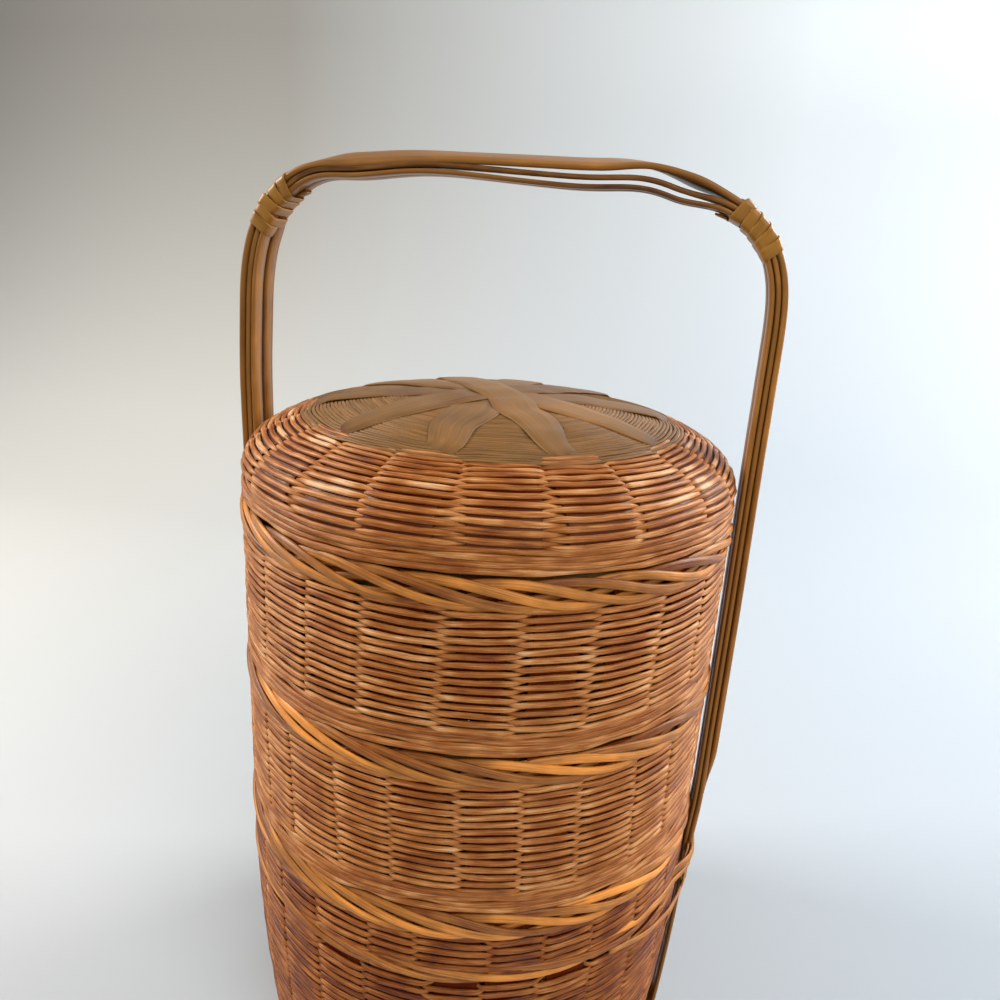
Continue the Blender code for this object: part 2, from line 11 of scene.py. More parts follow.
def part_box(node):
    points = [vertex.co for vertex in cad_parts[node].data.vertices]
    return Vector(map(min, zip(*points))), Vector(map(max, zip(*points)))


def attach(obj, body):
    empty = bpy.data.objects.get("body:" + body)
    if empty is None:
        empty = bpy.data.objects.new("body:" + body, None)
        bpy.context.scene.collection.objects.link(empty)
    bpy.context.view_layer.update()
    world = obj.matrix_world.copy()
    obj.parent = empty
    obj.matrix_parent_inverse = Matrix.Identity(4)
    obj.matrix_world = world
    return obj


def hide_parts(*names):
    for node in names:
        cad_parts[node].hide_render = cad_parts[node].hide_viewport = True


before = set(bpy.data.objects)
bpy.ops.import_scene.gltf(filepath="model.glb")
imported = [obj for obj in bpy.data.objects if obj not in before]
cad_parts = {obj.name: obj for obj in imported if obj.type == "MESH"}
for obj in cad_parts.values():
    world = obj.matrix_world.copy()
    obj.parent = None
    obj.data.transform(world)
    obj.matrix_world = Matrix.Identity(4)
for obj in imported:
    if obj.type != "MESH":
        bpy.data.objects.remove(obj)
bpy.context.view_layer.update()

bl_info = {
    "name": "Tiered Food Basket",
    "version": (1, 0, 0),
    "blender": (4, 5, 0),
    "location": "3D View > Sidebar > Basket",
    "description": "Weaves and finishes a stacking food basket of rattan and bamboo",
    "category": "Add Mesh",
}

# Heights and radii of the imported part
wall_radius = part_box("lower_tier_wall")[1].x
foot_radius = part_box("bottom_foot_ring")[1].x
foot_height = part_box("bottom_foot_ring")[1].z
bottom_wall_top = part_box("bottom_wall")[1].z
lower_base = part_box("lower_tier_wall")[0].z
lower_wall_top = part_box("lower_tier_wall")[1].z
upper_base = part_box("upper_tier_wall")[0].z
upper_wall_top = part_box("upper_tier_wall")[1].z
lid_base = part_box("lid_wall")[0].z
lid_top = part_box("lid_stakes")[1].z
waling_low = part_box("bottom_waling_lower")[0].z
waling_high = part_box("bottom_waling_upper")[1].z
waling_height = (waling_low + waling_high) / 2
handle_half_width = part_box("handle_outer_strip")[1].x
handle_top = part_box("handle_outer_strip")[1].z
handle_width = 2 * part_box("handle_outer_strip")[1].y
outer_strip_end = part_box("handle_outer_strip")[0].z
middle_strip_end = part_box("handle_middle_strip")[0].z
hoop_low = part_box("handle_inner_strip_front")[0].z

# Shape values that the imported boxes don't hold
taper_power = 1.84
floor_rise = 0.0088
lid_wall_height = 0.0069
lid_roundness = 2.35
crown_radius = 0.0575
border_tuck = 0.0014
arch_rise = 0.0528
arch_roundness = 3.3
lean_start_rise = 0.0288
lean_depth = 0.0037
pinch_depth = 0.0010
pinch_run = 0.0140
hoop_corner_radius = 0.0127
outer_strip_thickness = 0.0017
middle_strip_thickness = 0.0015
inner_strip_thickness = 0.0013
layer_gap = 0.0003
closed_depth = outer_strip_thickness + middle_strip_thickness + 2 * layer_gap
binding_start = 0.0710
binding_end = binding_start - 0.0042
full_turn = math.tau

# Lie of the handle's strips, by signed lengths from its top: where a change starts and its run
lopsided_spread = (-0.030, 0.055)
leg_fade = (0.215, -0.070)
left_leg_out = (-0.112, -0.030)
right_leg_in = (0.085, 0.025)
left_loose_start = (-0.078, -0.012)
left_loose_end = (-0.205, 0.060)
right_roll_end = (0.050, -0.022)
left_roll_rise = (-0.010, -0.030)
right_roll_back = (0.0595, 0.0085)
left_sag = (-0.047, 0.014)
# Humps of the bent hoop, by their middle, run and size
hoop_humps = ((-0.060, 0.012, 0.0018), (0.042, 0.012, 0.0016), (-0.095, 0.018, -0.0011))

# The stack from the bottom up: stakes, the azimuth of one of them and its lean, in degrees; tone
# shifts a vessel's strands darker, most of all at the bottom basket, partly as their own colour
# and partly as painted shade
vessels = {
    "bottom": {"body": "bottom_basket", "base": 0.0, "low": foot_height,
               "high": bottom_wall_top, "top": lower_base,
               "stakes": 28, "phase": 9.0, "lean": 0.0, "seed": 11, "tone": -0.30},
    "lower_tier": {"body": "lower_tier", "base": lower_base, "low": lower_base,
                   "high": lower_wall_top, "top": upper_base,
                   "stakes": 28, "phase": 3.0, "lean": -1.5, "seed": 37, "tone": -0.03},
    "upper_tier": {"body": "upper_tier", "base": upper_base, "low": upper_base,
                   "high": upper_wall_top, "top": lid_base,
                   "stakes": 24, "phase": 10.5, "lean": 1.2, "seed": 53, "tone": 0.0},
}
lid_stakes = 20
lid_phase = 14.0
lid_seed = 71
# Places between two stakes, as shares of their spacing, at which a strand is drawn
sample_shares = (-0.5, -0.44, -0.37, -0.2, 0.0, 0.2, 0.37, 0.44)

# Plant fibres: their surface, and the stops of their tone as (place, colour, shade)
fibres = {
    # Round rattan core, stained and varnished: warm and streaked, with soft highlights
    "varnished_rattan_core": {
        "roughness": 0.45, "coat": 0.06, "fibre_share": 1.70,
        "streak_width": 0.00030, "streak_length": 0.010, "bump_height": 0.00024,
        "stops": ((0.0, "rattan_dark", 1), (0.26, "rattan_deep", 1), (0.52, "rattan_mid", 1),
                  (0.82, "rattan_pale", 1), (1.0, "rattan_worn", 1))},
    # Thick rattan strands of the borders: more golden, smoother and glossier
    "golden_rattan_strand": {
        "roughness": 0.40, "coat": 0.10, "fibre_share": 1.25,
        "streak_width": 0.00034, "streak_length": 0.018, "bump_height": 0.00022,
        "stops": ((0.0, "rattan_dark", 1), (0.22, "rattan_deep", 0.85),
                  (0.54, "border_gold", 1), (1.0, "border_gold", 2.4))},
    # Flat bamboo splits of the lid's crown: dull taupe with fine straight grain
    "aged_bamboo_split": {
        "roughness": 0.42, "coat": 0.0, "fibre_share": 1.1,
        "streak_width": 0.00045, "streak_length": 0.045, "bump_height": 0.00014,
        "stops": ((0.0, "rattan_dark", 1), (0.32, "crown_grey", 0.70),
                  (0.62, "crown_grey", 1), (1.0, "crown_grey", 1.5))},
    # Fine bamboo strands between the lid's splits: close, dull and pale brown
    "fine_bamboo_strand": {
        "roughness": 0.48, "coat": 0.0, "fibre_share": 0.6,
        "streak_width": 0.0003, "streak_length": 0.02, "bump_height": 0.00005,
        "stops": ((0.0, "crown_grey", 0.45), (0.4, "crown_grey", 0.85),
                  (1.0, "crown_grey", 1.4))},
    # Upright and floor splits inside the weave: matt, nearly without shine, and dark brown as
    # painted shade in the gaps between the strands
    "matt_bamboo_split": {
        "roughness": 0.75, "coat": 0.0, "fibre_share": 0.5, "shine": 0.12,
        "streak_width": 0.0005, "streak_length": 0.04, "bump_height": 0.00008,
        "stops": ((0.0, "rattan_dark", 0.6), (0.5, "rattan_dark", 1),
                  (1.0, "rattan_deep", 1))},
    # Heat-bent bamboo of the handle's strips: brown skin with long grain, varnished
    "heat_bent_bamboo": {
        "roughness": 0.36, "coat": 0.15, "fibre_share": 1.1,
        "streak_width": 0.00070, "streak_length": 0.060, "bump_height": 0.00012,
        "stops": ((0.0, "handle_dark", 1), (0.30, "handle_brown", 0.8),
                  (0.62, "handle_brown", 1), (1.0, "handle_brown", 1.7))},
    # Flat cane split of the bindings: yellow, glossy skin
    "glossy_cane_split": {
        "roughness": 0.42, "coat": 0.15, "fibre_share": 0.6,
        "streak_width": 0.0005, "streak_length": 0.03, "bump_height": 0.00006,
        "stops": ((0.0, "binding_yellow", 0.4), (0.35, "binding_yellow", 0.75),
                  (0.7, "binding_yellow", 1), (1.0, "binding_yellow", 1.3))},
}


def linear_colour(hex_text):
    """Turn an sRGB hex colour to a linear colour with full alpha."""
    channels = [int(hex_text[i:i + 2], 16) / 255 for i in (0, 2, 4)]
    levels = [c / 12.92 if c <= 0.04045 else ((c + 0.055) / 1.055) ** 2.4 for c in channels]
    return (*levels, 1.0)


def length_property(name, description, default):
    """A size in metres that a user may change."""
    return FloatProperty(name=name, description=description, default=default,
                         min=0.0, unit='LENGTH', precision=5)


def colour_property(name, description, hex_text):
    """A colour that a user may change."""
    return FloatVectorProperty(name=name, description=description, subtype='COLOR', size=4,
                               min=0.0, max=1.0, default=linear_colour(hex_text))


class BasketWeaveSettings(bpy.types.PropertyGroup):
    """Sizes of the strands and splits that the vessels are woven from."""

    upper_pitch: length_property("Upper tier pitch", "Rise from one strand to the next", 0.00117)
    lower_pitch: length_property("Lower tier pitch", "Rise from one strand to the next", 0.00121)
    bottom_pitch: length_property("Bottom pitch", "Rise from one strand to the next", 0.00138)
    lid_pitch: length_property("Lid pitch", "Rise from one strand to the next", 0.00125)
    strand_depth: length_property("Strand depth", "Thickness of a strand", 0.00125)
    strand_swing: length_property("Strand swing", "Way out and in past a stake", 0.00098)
    waling_pitch: length_property("Waling pitch", "Rise between the thick lower rows", 0.00180)
    waling_height: length_property("Waling strand", "Height of a thick lower strand", 0.00205)
    stake_share: FloatProperty(name="Stake width", description="Share of the stakes' spacing",
                               default=0.74, min=0.1, max=0.9)
    stake_thickness: length_property("Stake thickness", "Thickness of an upright split", 0.0006)
    floor_pitch: length_property("Floor pitch", "Way between the rings of a floor", 0.0023)
    fine_pitch: length_property("Fine pitch", "Way between the fine rings of the lid", 0.00112)
    split_width: length_property("Lid split width", "Width of a flat split on the lid", 0.0148)
    border_strand: length_property("Border strand", "Width of one border strand", 0.0027)
    border_depth: length_property("Border depth", "Thickness of one border strand", 0.0015)
    border_count: IntProperty(name="Border strands", description="Strands in one border",
                              default=5, min=2, max=8)
    border_twists: IntProperty(name="Border twists", description="Turns of the rope per ring",
                               default=6, min=2, max=16)


class BasketHandleSettings(bpy.types.PropertyGroup):
    """Sizes of the laminated handle and its bindings."""

    crown_roll: FloatProperty(name="Roll at the top", description="Turn of the outer strip",
                              default=math.radians(15), subtype='ANGLE')
    layer_spread: length_property("Layer spread", "Room between the layers at the top", 0.0014)
    binding_width: length_property("Binding width", "Width of the wound cane split", 0.0036)
    binding_pitch: length_property("Binding pitch", "Way from one turn to the next", 0.0037)
    binding_depth: length_property("Binding depth", "Thickness of the cane split", 0.00045)


class BasketFinishSettings(bpy.types.PropertyGroup):
    """Colours of the strands, splits and studio."""

    rattan_worn: colour_property("Rattan, worn", "Splintered strands", "d6a87c")
    rattan_pale: colour_property("Rattan, pale", "Lighter strands", "c4854c")
    rattan_mid: colour_property("Rattan, middle", "Most strands", "9c5a22")
    rattan_deep: colour_property("Rattan, deep", "Stained strands", "80400f")
    # Darkest rattan: dark streaks, and painted shade in the strands' hollows and on the splits
    # seen between them
    rattan_dark: colour_property("Rattan, darkest", "Hollows of the strands", "541a02")
    border_gold: colour_property("Border, gold", "Thick border strands", "9e6226")
    crown_grey: colour_property("Crown, taupe", "Aged splits of the lid", "7b552c")
    handle_brown: colour_property("Handle, brown", "Heat-bent bamboo", "875720")
    # Darkest handle colour: dark grain, and painted shade on the tops of the middle and inner
    # strips
    handle_dark: colour_property("Handle, dark", "Inner bamboo strips", "45230a")
    binding_yellow: colour_property("Binding, yellow", "Cane split", "956420")
    hoop_tan: colour_property("Hoop, tan", "Bamboo hoops", "a07a48")
    floor_white: colour_property("Floor", "Studio floor", "acb4bb")
    floor_left: colour_property("Floor, left", "Studio floor at its left", "b8b6b0")
    # The backdrop's darker left is painted shade
    wall_left: colour_property("Wall, left", "Backdrop at its left", "8f8c86")
    wall_right: colour_property("Wall, right", "Backdrop at its right", "d4dadd")


def add_node(material, kind, settings=None, links=None):
    """Add one shader node with its values and the sockets that feed it."""
    tree = material.node_tree
    node = tree.nodes.new(kind)
    for key, value in (settings or {}).items():
        if isinstance(key, int) or key in node.inputs:
            node.inputs[key].default_value = value
        else:
            setattr(node, key, value)
    for key, socket in (links or {}).items():
        tree.links.new(socket, node.inputs[key])
    return node


def set_ramp(node, stops):
    """Give a colour ramp its stops of place and colour."""
    ramp = node.color_ramp
    while len(ramp.elements) > 2:
        ramp.elements.remove(ramp.elements[-1])
    for element, (place, colour) in zip(ramp.elements, stops):
        element.position = place
        element.color = colour
    for place, colour in stops[2:]:
        ramp.elements.new(place).color = colour


def new_material(name, roughness, ior):
    """Start a Principled material of a non-metal."""
    warm_shine = (1.0, 0.80, 0.60, 1.0)
    material = bpy.data.materials.new(name)
    material.use_nodes = True
    shader = material.node_tree.nodes["Principled BSDF"]
    shader.inputs["Roughness"].default_value = roughness
    shader.inputs["IOR"].default_value = ior
    shader.inputs["Metallic"].default_value = 0.0
    shader.inputs["Specular Tint"].default_value = warm_shine
    return material, shader


def shaded(colour, share):
    """A darker or lighter form of a linear colour, held under full white."""
    brightest = 0.95
    return tuple(min(brightest, channel * share) for channel in colour[:3]) + (1.0,)


def stretched_noise(material, place, per_metre, detail, roughness):
    """Noise with its cells stretched to so many per metre in each direction."""
    scaled = add_node(material, "ShaderNodeMapping", {"Scale": per_metre}, {"Vector": place})
    noise = add_node(material, "ShaderNodeTexNoise",
                     {"Scale": 1.0, "Detail": detail, "Roughness": roughness},
                     {"Vector": scaled.outputs["Vector"]})
    return noise.outputs["Fac"]


def fibre_material(name):
    """Plant fibre laid along the strand: tone from the strand, streaks along its length."""
    kind = fibres[name]
    finish = bpy.context.scene.basket_finish
    roughness = kind["roughness"]
    fibre_ior = 1.40
    streaks_per_metre = (1 / kind["streak_length"], 1 / kind["streak_width"], 1.0)
    patches_per_metre = (90.0, 260.0, 1.0)
    patch_share = 0.7
    glossier = 0.07
    duller = 0.16
    material, shader = new_material(name, roughness, fibre_ior)
    place = add_node(material, "ShaderNodeUVMap", {"uv_map": "grain"}).outputs["UV"]
    total = add_node(material, "ShaderNodeAttribute", {"attribute_name": "tone"}).outputs["Fac"]
    streaks = stretched_noise(material, place, streaks_per_metre, 4.0, 0.65)
    patches = stretched_noise(material, place, patches_per_metre, 2.0, 0.5)
    for noise, share in ((streaks, kind["fibre_share"]), (patches, patch_share)):
        part = add_node(material, "ShaderNodeMath",
                        {"operation": 'MULTIPLY_ADD', 1: share, 2: -share / 2}, {0: noise})
        total = add_node(material, "ShaderNodeMath", {"operation": 'ADD'},
                         {0: total, 1: part.outputs[0]}).outputs[0]
    ramp = add_node(material, "ShaderNodeValToRGB", None, {"Fac": total})
    set_ramp(ramp, [(stop, shaded(getattr(finish, colour), share))
                    for stop, colour, share in kind["stops"]])
    bump = add_node(material, "ShaderNodeBump",
                    {"Strength": 0.6, "Distance": kind["bump_height"]}, {"Height": streaks})
    gloss = add_node(material, "ShaderNodeMapRange",
                     {"To Min": roughness - glossier, "To Max": roughness + duller},
                     {"Value": patches})
    links = material.node_tree.links
    links.new(ramp.outputs["Color"], shader.inputs["Base Color"])
    links.new(bump.outputs["Normal"], shader.inputs["Normal"])
    links.new(gloss.outputs["Result"], shader.inputs["Roughness"])
    shader.inputs["Specular IOR Level"].default_value = kind.get("shine", 0.5)
    shader.inputs["Coat Weight"].default_value = kind["coat"]
    shader.inputs["Coat Roughness"].default_value = 0.28
    return material


def bamboo_hoop():
    """Flat bamboo hoops: the grain runs round the hoop, so it changes only with height."""
    finish = bpy.context.scene.basket_finish
    grain_per_metre = (30.0, 30.0, 1600.0)
    grain_height = 0.0001
    material, shader = new_material("satin_bamboo_hoop", 0.5, 1.50)
    place = add_node(material, "ShaderNodeTexCoord").outputs["Object"]
    grain = stretched_noise(material, place, grain_per_metre, 4.0, 0.65)
    ramp = add_node(material, "ShaderNodeValToRGB", None, {"Fac": grain})
    set_ramp(ramp, [(0.2, shaded(finish.hoop_tan, 0.45)), (0.5, shaded(finish.hoop_tan, 0.8)),
                    (0.8, finish.hoop_tan)])
    bump = add_node(material, "ShaderNodeBump", {"Strength": 0.5, "Distance": grain_height},
                    {"Height": grain})
    links = material.node_tree.links
    links.new(ramp.outputs["Color"], shader.inputs["Base Color"])
    links.new(bump.outputs["Normal"], shader.inputs["Normal"])
    return material


def oval_section(sides):
    """Corners of an oval as (share of half width, edge part, share of half depth)."""
    angles = [full_turn * side / sides for side in range(sides)]
    return np.array([(math.cos(a), 0.0, math.sin(a)) for a in angles])


def split_section(crown_share):
    """Corners of a flat split with rounded edges and a crowned outer face."""
    return np.array([
        (1.0, 0.0, -0.45), (1.0, 0.0, 0.45), (1.0, -0.55, 1.0),
        (0.5, 0.0, 1.0 + 0.75 * crown_share), (0.0, 0.0, 1.0 + crown_share),
        (-0.5, 0.0, 1.0 + 0.75 * crown_share), (-1.0, 0.55, 1.0),
        (-1.0, 0.0, 0.45), (-1.0, 0.0, -0.45), (-1.0, 0.55, -1.0),
        (0.0, 0.0, -1.0), (1.0, -0.55, -1.0)])


def unit(vectors):
    """Vectors of length one."""
    return vectors / np.linalg.norm(vectors, axis=-1, keepdims=True)


def ring_points(radius, around, height):
    """Points by radius, azimuth and height, or directions by their run and rise."""
    return np.stack([radius * np.cos(around), radius * np.sin(around),
                     height * np.ones_like(around)], -1)


def hump(value, middle, run):
    """A smooth hump of 1 at its middle, which fades over its run to both sides."""
    return np.exp(-((value - middle) / run) ** 2)


def rise_share(value, start, run):
    """Ease from 0 at start to 1 one run further on, or before it where the run is negative."""
    share = np.clip((value - start) / run, 0, 1)
    return share * share * (3 - 2 * share)


def both_halves(half, sign=1):
    """Values from one end of a span to the other, from those of its half; sign turns the first."""
    return np.concatenate([np.multiply(sign, half[::-1][:-1]), half])


def sweep(points, outs, half_widths, half_depths, section, closed, tones):
    """Lay a section along a path; outs point to the side that its crowned face shows."""
    points = np.asarray(points, float)
    count = len(points)
    half_widths = np.broadcast_to(half_widths, count)[:, None, None]
    half_depths = np.broadcast_to(half_depths, count)[:, None, None]
    if closed:
        tangents = np.roll(points, -1, axis=0) - np.roll(points, 1, axis=0)
    else:
        tangents = np.gradient(points, axis=0)
    tangents = unit(tangents)
    acrosses = unit(np.cross(outs, tangents))[:, None, :]
    normals = unit(np.cross(tangents, acrosses[:, 0, :]))[:, None, :]
    wide, edge, deep = (section[None, :, i, None] for i in range(3))
    rings = (points[:, None, :] + acrosses * (wide * half_widths + edge * half_depths)
             + normals * deep * half_depths)
    return {"rings": rings, "closed": closed, "tones": np.broadcast_to(tones, count)}


def tube_faces(count, sides, closed):
    """Corner numbers of the side faces of one tube, with its outside facing out."""
    spans = count if closed else count - 1
    step = np.arange(spans)[:, None]
    side = np.arange(sides)[None, :]
    ahead = (step + 1) % count
    beside = (side + 1) % sides
    return np.stack([step * sides + side, step * sides + beside,
                     ahead * sides + beside, ahead * sides + side], -1).reshape(-1, 4)


def tube_grain(rings, closed):
    """Places of the side faces' corners along the strand and round it, in metres."""
    count, sides, _ = rings.shape
    middle = rings.mean(axis=1)
    ends = np.vstack([middle, middle[:1]]) if closed else middle
    lengths = np.concatenate([[0.0], np.cumsum(np.linalg.norm(np.diff(ends, axis=0), axis=1))])
    girth = np.linalg.norm(rings[0] - np.roll(rings[0], -1, axis=0), axis=1).sum()
    spans = count if closed else count - 1
    low = np.repeat(lengths[:spans, None], sides, axis=1)
    high = np.repeat(lengths[1:spans + 1, None], sides, axis=1)
    near = np.repeat(np.arange(sides)[None, :] * girth / sides, spans, axis=0)
    far = near + girth / sides
    return np.stack([np.stack([low, near], -1), np.stack([low, far], -1),
                     np.stack([high, far], -1), np.stack([high, near], -1)], 2).reshape(-1, 2)


def lay_strands(name, tubes, material, body, slot, *nodes):
    """Make one piece of all its strands, with their grain and tone, on a body."""
    if not tubes:
        raise RuntimeError("no strands to lay for " + name)
    grain_step = 0.137
    places, faces, grain, tones = [], [], [], []
    start = 0
    for index, tube in enumerate(tubes):
        rings = tube["rings"]
        count, sides, _ = rings.shape
        places.append(rings.reshape(-1, 3))
        faces.extend((tube_faces(count, sides, tube["closed"]) + start).tolist())
        grain.append(tube_grain(rings, tube["closed"]) + index * grain_step)
        if not tube["closed"]:
            faces.append(list(range(start, start + sides))[::-1])
            faces.append(list(range(start + (count - 1) * sides, start + count * sides)))
            grain.append(np.zeros((2 * sides, 2)))
        tones.append(np.repeat(tube["tones"], sides))
        start += count * sides
    mesh = bpy.data.meshes.new(name)
    mesh.from_pydata(np.vstack(places).tolist(), [], faces)
    mesh.uv_layers.new(name="grain").data.foreach_set("uv", np.vstack(grain).ravel())
    mesh.attributes.new("tone", 'FLOAT', 'POINT').data.foreach_set(
        "value", np.concatenate(tones).astype(np.float32))
    mesh.polygons.foreach_set("use_smooth", np.ones(len(mesh.polygons), bool))
    mesh.materials.append(material)
    piece = bpy.data.objects.new(name, mesh)
    bpy.context.scene.collection.objects.link(piece)
    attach(piece, body)
    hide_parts(*nodes)


def ripple(around, along, size, seed, finest=9):
    """Smooth unevenness that closes round a ring: a few sine waves with seeded phases."""
    rng = np.random.default_rng(seed)
    wave_count = 5
    total = 0.0
    for _ in range(wave_count):
        turns = rng.integers(1, finest)
        climb = rng.uniform(-260, 260)
        total = total + np.sin(turns * around + climb * along + rng.uniform(0, full_turn))
    return size * total / math.sqrt(wave_count)


def line_lengths(radii, heights):
    """Distance along a wall's outline at each of its points."""
    steps = np.hypot(np.diff(radii), np.diff(heights))
    return np.concatenate([[0.0], np.cumsum(steps)])


def line_place(line, reach):
    """Radius, height and outward direction of a wall's outside at distances along it."""
    lengths, radii, heights = line
    near = 0.0004
    radius = np.interp(reach, lengths, radii)
    height = np.interp(reach, lengths, heights)
    run = np.interp(reach + near, lengths, radii) - np.interp(reach - near, lengths, radii)
    rise = np.interp(reach + near, lengths, heights) - np.interp(reach - near, lengths, heights)
    size = np.maximum(np.hypot(run, rise), 1e-9)
    return radius, height, rise / size, -run / size


def bottom_radius(height):
    """Outside radius of the bottom basket at a height."""
    share = np.clip((waling_height - height) / waling_height, 0, None)
    return wall_radius - (wall_radius - foot_radius) * share ** taper_power


def straight_line(low, high):
    """Outline of a vessel's wall from its lowest to its highest row."""
    heights = np.linspace(low, high, 60)
    radii = bottom_radius(heights)
    return line_lengths(radii, heights), radii, heights


def dome_height(radius):
    """Height of the lid's outside at a radius."""
    spring = lid_base + lid_wall_height
    share = np.clip(radius / wall_radius, 0, 1) ** lid_roundness
    return spring + (lid_top - spring) * (1 - share) ** (1 / lid_roundness)


def lid_line():
    """Outline of the lid's coarse weave, from its rim up and over its shoulder."""
    spring = lid_base + lid_wall_height
    start = math.acos((crown_radius / wall_radius) ** (lid_roundness / 2))
    angles = np.linspace(0, start, 80)[1:]
    radii = wall_radius * np.cos(angles) ** (2 / lid_roundness)
    heights = spring + (lid_top - spring) * np.sin(angles) ** (2 / lid_roundness)
    radii = np.concatenate([[wall_radius, wall_radius], radii])
    heights = np.concatenate([[lid_base, spring], heights])
    return line_lengths(radii, heights), radii, heights


def stake_place(around, count, phase, seed):
    """Place round the wall in stakes, with the stakes a little unevenly spaced."""
    drift = ripple(around, 0.0, 0.09, seed, finest=14)
    return (around - math.radians(phase)) * count / full_turn + drift


def sampled_places(count, phase, seed):
    """Azimuths at which a strand is drawn and their places in stakes, dense at each dive."""
    wanted = (np.arange(count)[:, None] + np.array(sample_shares)[None, :]).ravel()
    around = math.radians(phase) + wanted * full_turn / count
    place = stake_place(around, count, phase, seed)
    around = around - (place - wanted) * full_turn / count
    return around, stake_place(around, count, phase, seed)


def plain_wave(place, row):
    """Out over one stake and in behind the next, in turn with the row."""
    steepness = 3.3
    return np.tanh(steepness * np.cos(math.pi * (place + row))) / math.tanh(steepness)


def waling_wave(place, row):
    """Out over three stakes and in behind the fourth, one stake on with each row."""
    dive = 1.4
    dive_run = 0.42
    away = np.abs((place - row + 2) % 4 - 2)
    return 1 - dive * hump(away, 0, dive_run)


def woven_row(line, reach, around, wave, height, depth, seed, vessel_tone_and_shade, worn=0.0):
    """One strand right round a wall, pinched where it passes between the stakes."""
    swing = bpy.context.scene.basket_weave.strand_swing
    rng = np.random.default_rng(seed)
    pinch_share = 0.70
    thinning_share = 0.2
    wall_seed = 5
    wall_wander = 0.00042
    row_wander = 0.00009
    row_bulge = 0.00012
    splinter_length = 4
    # Tones: the mean strand, a painted highlight on its flanks, painted shade on its part hidden
    # behind a stake, and its splinters
    mean_tone = 0.51
    flank_highlight_tone = 0.13
    hidden_shade_tone = -0.10
    splinter_tone = 0.95
    flank_wave = 0.92
    front_wave = 0.8
    wander = ripple(around, reach, wall_wander, wall_seed)
    wander = wander + ripple(around, 0.0, row_wander, seed, finest=40)
    radius, up, out_run, out_rise = line_place(line, reach + wander)
    bulge = ripple(around, 0.0, row_bulge, seed + 1, finest=40)
    hidden = ((1 - wave) / 2) ** 2.5
    shift = bulge - depth / 2 - 2 * swing * hidden
    points = ring_points(radius + out_run * shift, around, up + out_rise * shift)
    fullness = pinch_share + (1 - pinch_share) * np.abs(wave)
    thickness = 1 + ripple(around, 0.0, 0.05, seed + 2, finest=50)
    tone = (rng.normal(mean_tone, 0.06) + ripple(around, 0.0, 0.08, seed + 3, finest=14)
            + ripple(around, 0.0, 0.06, seed + 4, finest=90)
            + flank_highlight_tone * (np.abs(wave) < flank_wave) + hidden_shade_tone * (wave < -flank_wave))
    splintered = np.repeat(rng.random(len(around) // splinter_length) < worn, splinter_length)
    # The vessel's tone shift darkens the lower vessels: partly their own colour, partly painted
    # shade
    tone = np.where(splintered & (wave > front_wave), splinter_tone,
                    np.clip(tone + vessel_tone_and_shade, 0.02, 0.80))
    half_depth = depth / 2 * (1 - thinning_share + thinning_share * np.abs(wave))
    return sweep(points, ring_points(out_run, around, out_rise),
                 height / 2 * fullness * thickness, half_depth, oval_section(8), True, tone)


def woven_wall(line, vessel, waling_rows, pitch, low=0.0, top_pitch=None, worn_shares=(1, 1)):
    """Strands of a wall: thick waling rows at its foot, then plain rows to its top."""
    weave = bpy.context.scene.basket_weave
    over_share = 1.46
    waling_depth_share = 1.1
    last_waling_share = 0.42
    splinter_share = 0.12
    total = line[0][-1]
    reach = low + weave.waling_height / 2
    top_pitch = top_pitch or pitch
    seed = vessel["seed"]
    tubes = []
    row = 0
    while reach < total - top_pitch / 2:
        share = reach / total
        phase = vessel["phase"] + vessel["lean"] * share
        around, place = sampled_places(vessel["stakes"], phase, seed)
        if row < waling_rows:
            tubes.append(woven_row(line, reach, around, waling_wave(place, row),
                                   weave.waling_height, weave.strand_depth * waling_depth_share,
                                   seed + 10 * row, vessel["tone"]))
            last = row == waling_rows - 1
            reach += ((weave.waling_pitch + pitch) * last_waling_share if last
                      else weave.waling_pitch)
        else:
            rise = pitch + (top_pitch - pitch) * rise_share(share, 0.5, 0.5)
            worn = splinter_share if worn_shares[0] < share < worn_shares[1] else 0.0
            tubes.append(woven_row(line, reach, around, plain_wave(place, row),
                                   rise * over_share, weave.strand_depth,
                                   seed + 1000 + 10 * row, vessel["tone"], worn))
            reach += rise
        row += 1
    return tubes


def vessel_splits(vessel):
    """Upright splits of a vessel, which bend in under its floor and meet at its middle."""
    weave = bpy.context.scene.basket_weave
    count = vessel["stakes"]
    rng = np.random.default_rng(vessel["seed"])
    bend = 0.006
    rim_room = 0.0008
    weave_room = 0.0001
    hub_radius = 0.004
    hub_width = 0.0026
    widening_share = 0.13
    layer_step = 0.00022
    layer_reach = 0.035
    floor_height = vessel["base"] + floor_rise
    low = floor_height + bend
    heights = np.linspace(vessel["top"] - rim_room, low, 14)
    radii = bottom_radius(heights) - (weave.strand_depth / 2 + weave.strand_swing + weave_room)
    turn = np.linspace(0, math.pi / 2, 6)[1:]
    inward = np.linspace(radii[-1] - bend, hub_radius, 12)[1:]
    radii = np.concatenate([radii, radii[-1] - bend + bend * np.cos(turn), inward])
    heights = np.concatenate([heights, low - bend * np.sin(turn),
                              np.full(len(inward), floor_height)])
    spacing = full_turn / count
    width = np.minimum(weave.stake_share * wall_radius * spacing,
                       hub_width + radii * widening_share)
    share = np.clip((heights - vessel["low"]) / (vessel["high"] - vessel["low"]), 0, 1)
    tubes = []
    for index in range(count):
        straight = math.radians(vessel["phase"]) + spacing * index
        drift = stake_place(straight, count, vessel["phase"], vessel["seed"]) - index
        angle = straight + math.radians(vessel["lean"]) * share - drift * spacing
        layer = layer_step * (index % 4) * hump(radii, 0, layer_reach)
        outs = unit(ring_points(-np.gradient(heights), angle, np.gradient(radii)))
        tubes.append(sweep(ring_points(radii, angle, heights + layer), outs, width / 2,
                           weave.stake_thickness / 2, split_section(0.15), False,
                           rng.uniform(0.3, 0.7)))
    return tubes


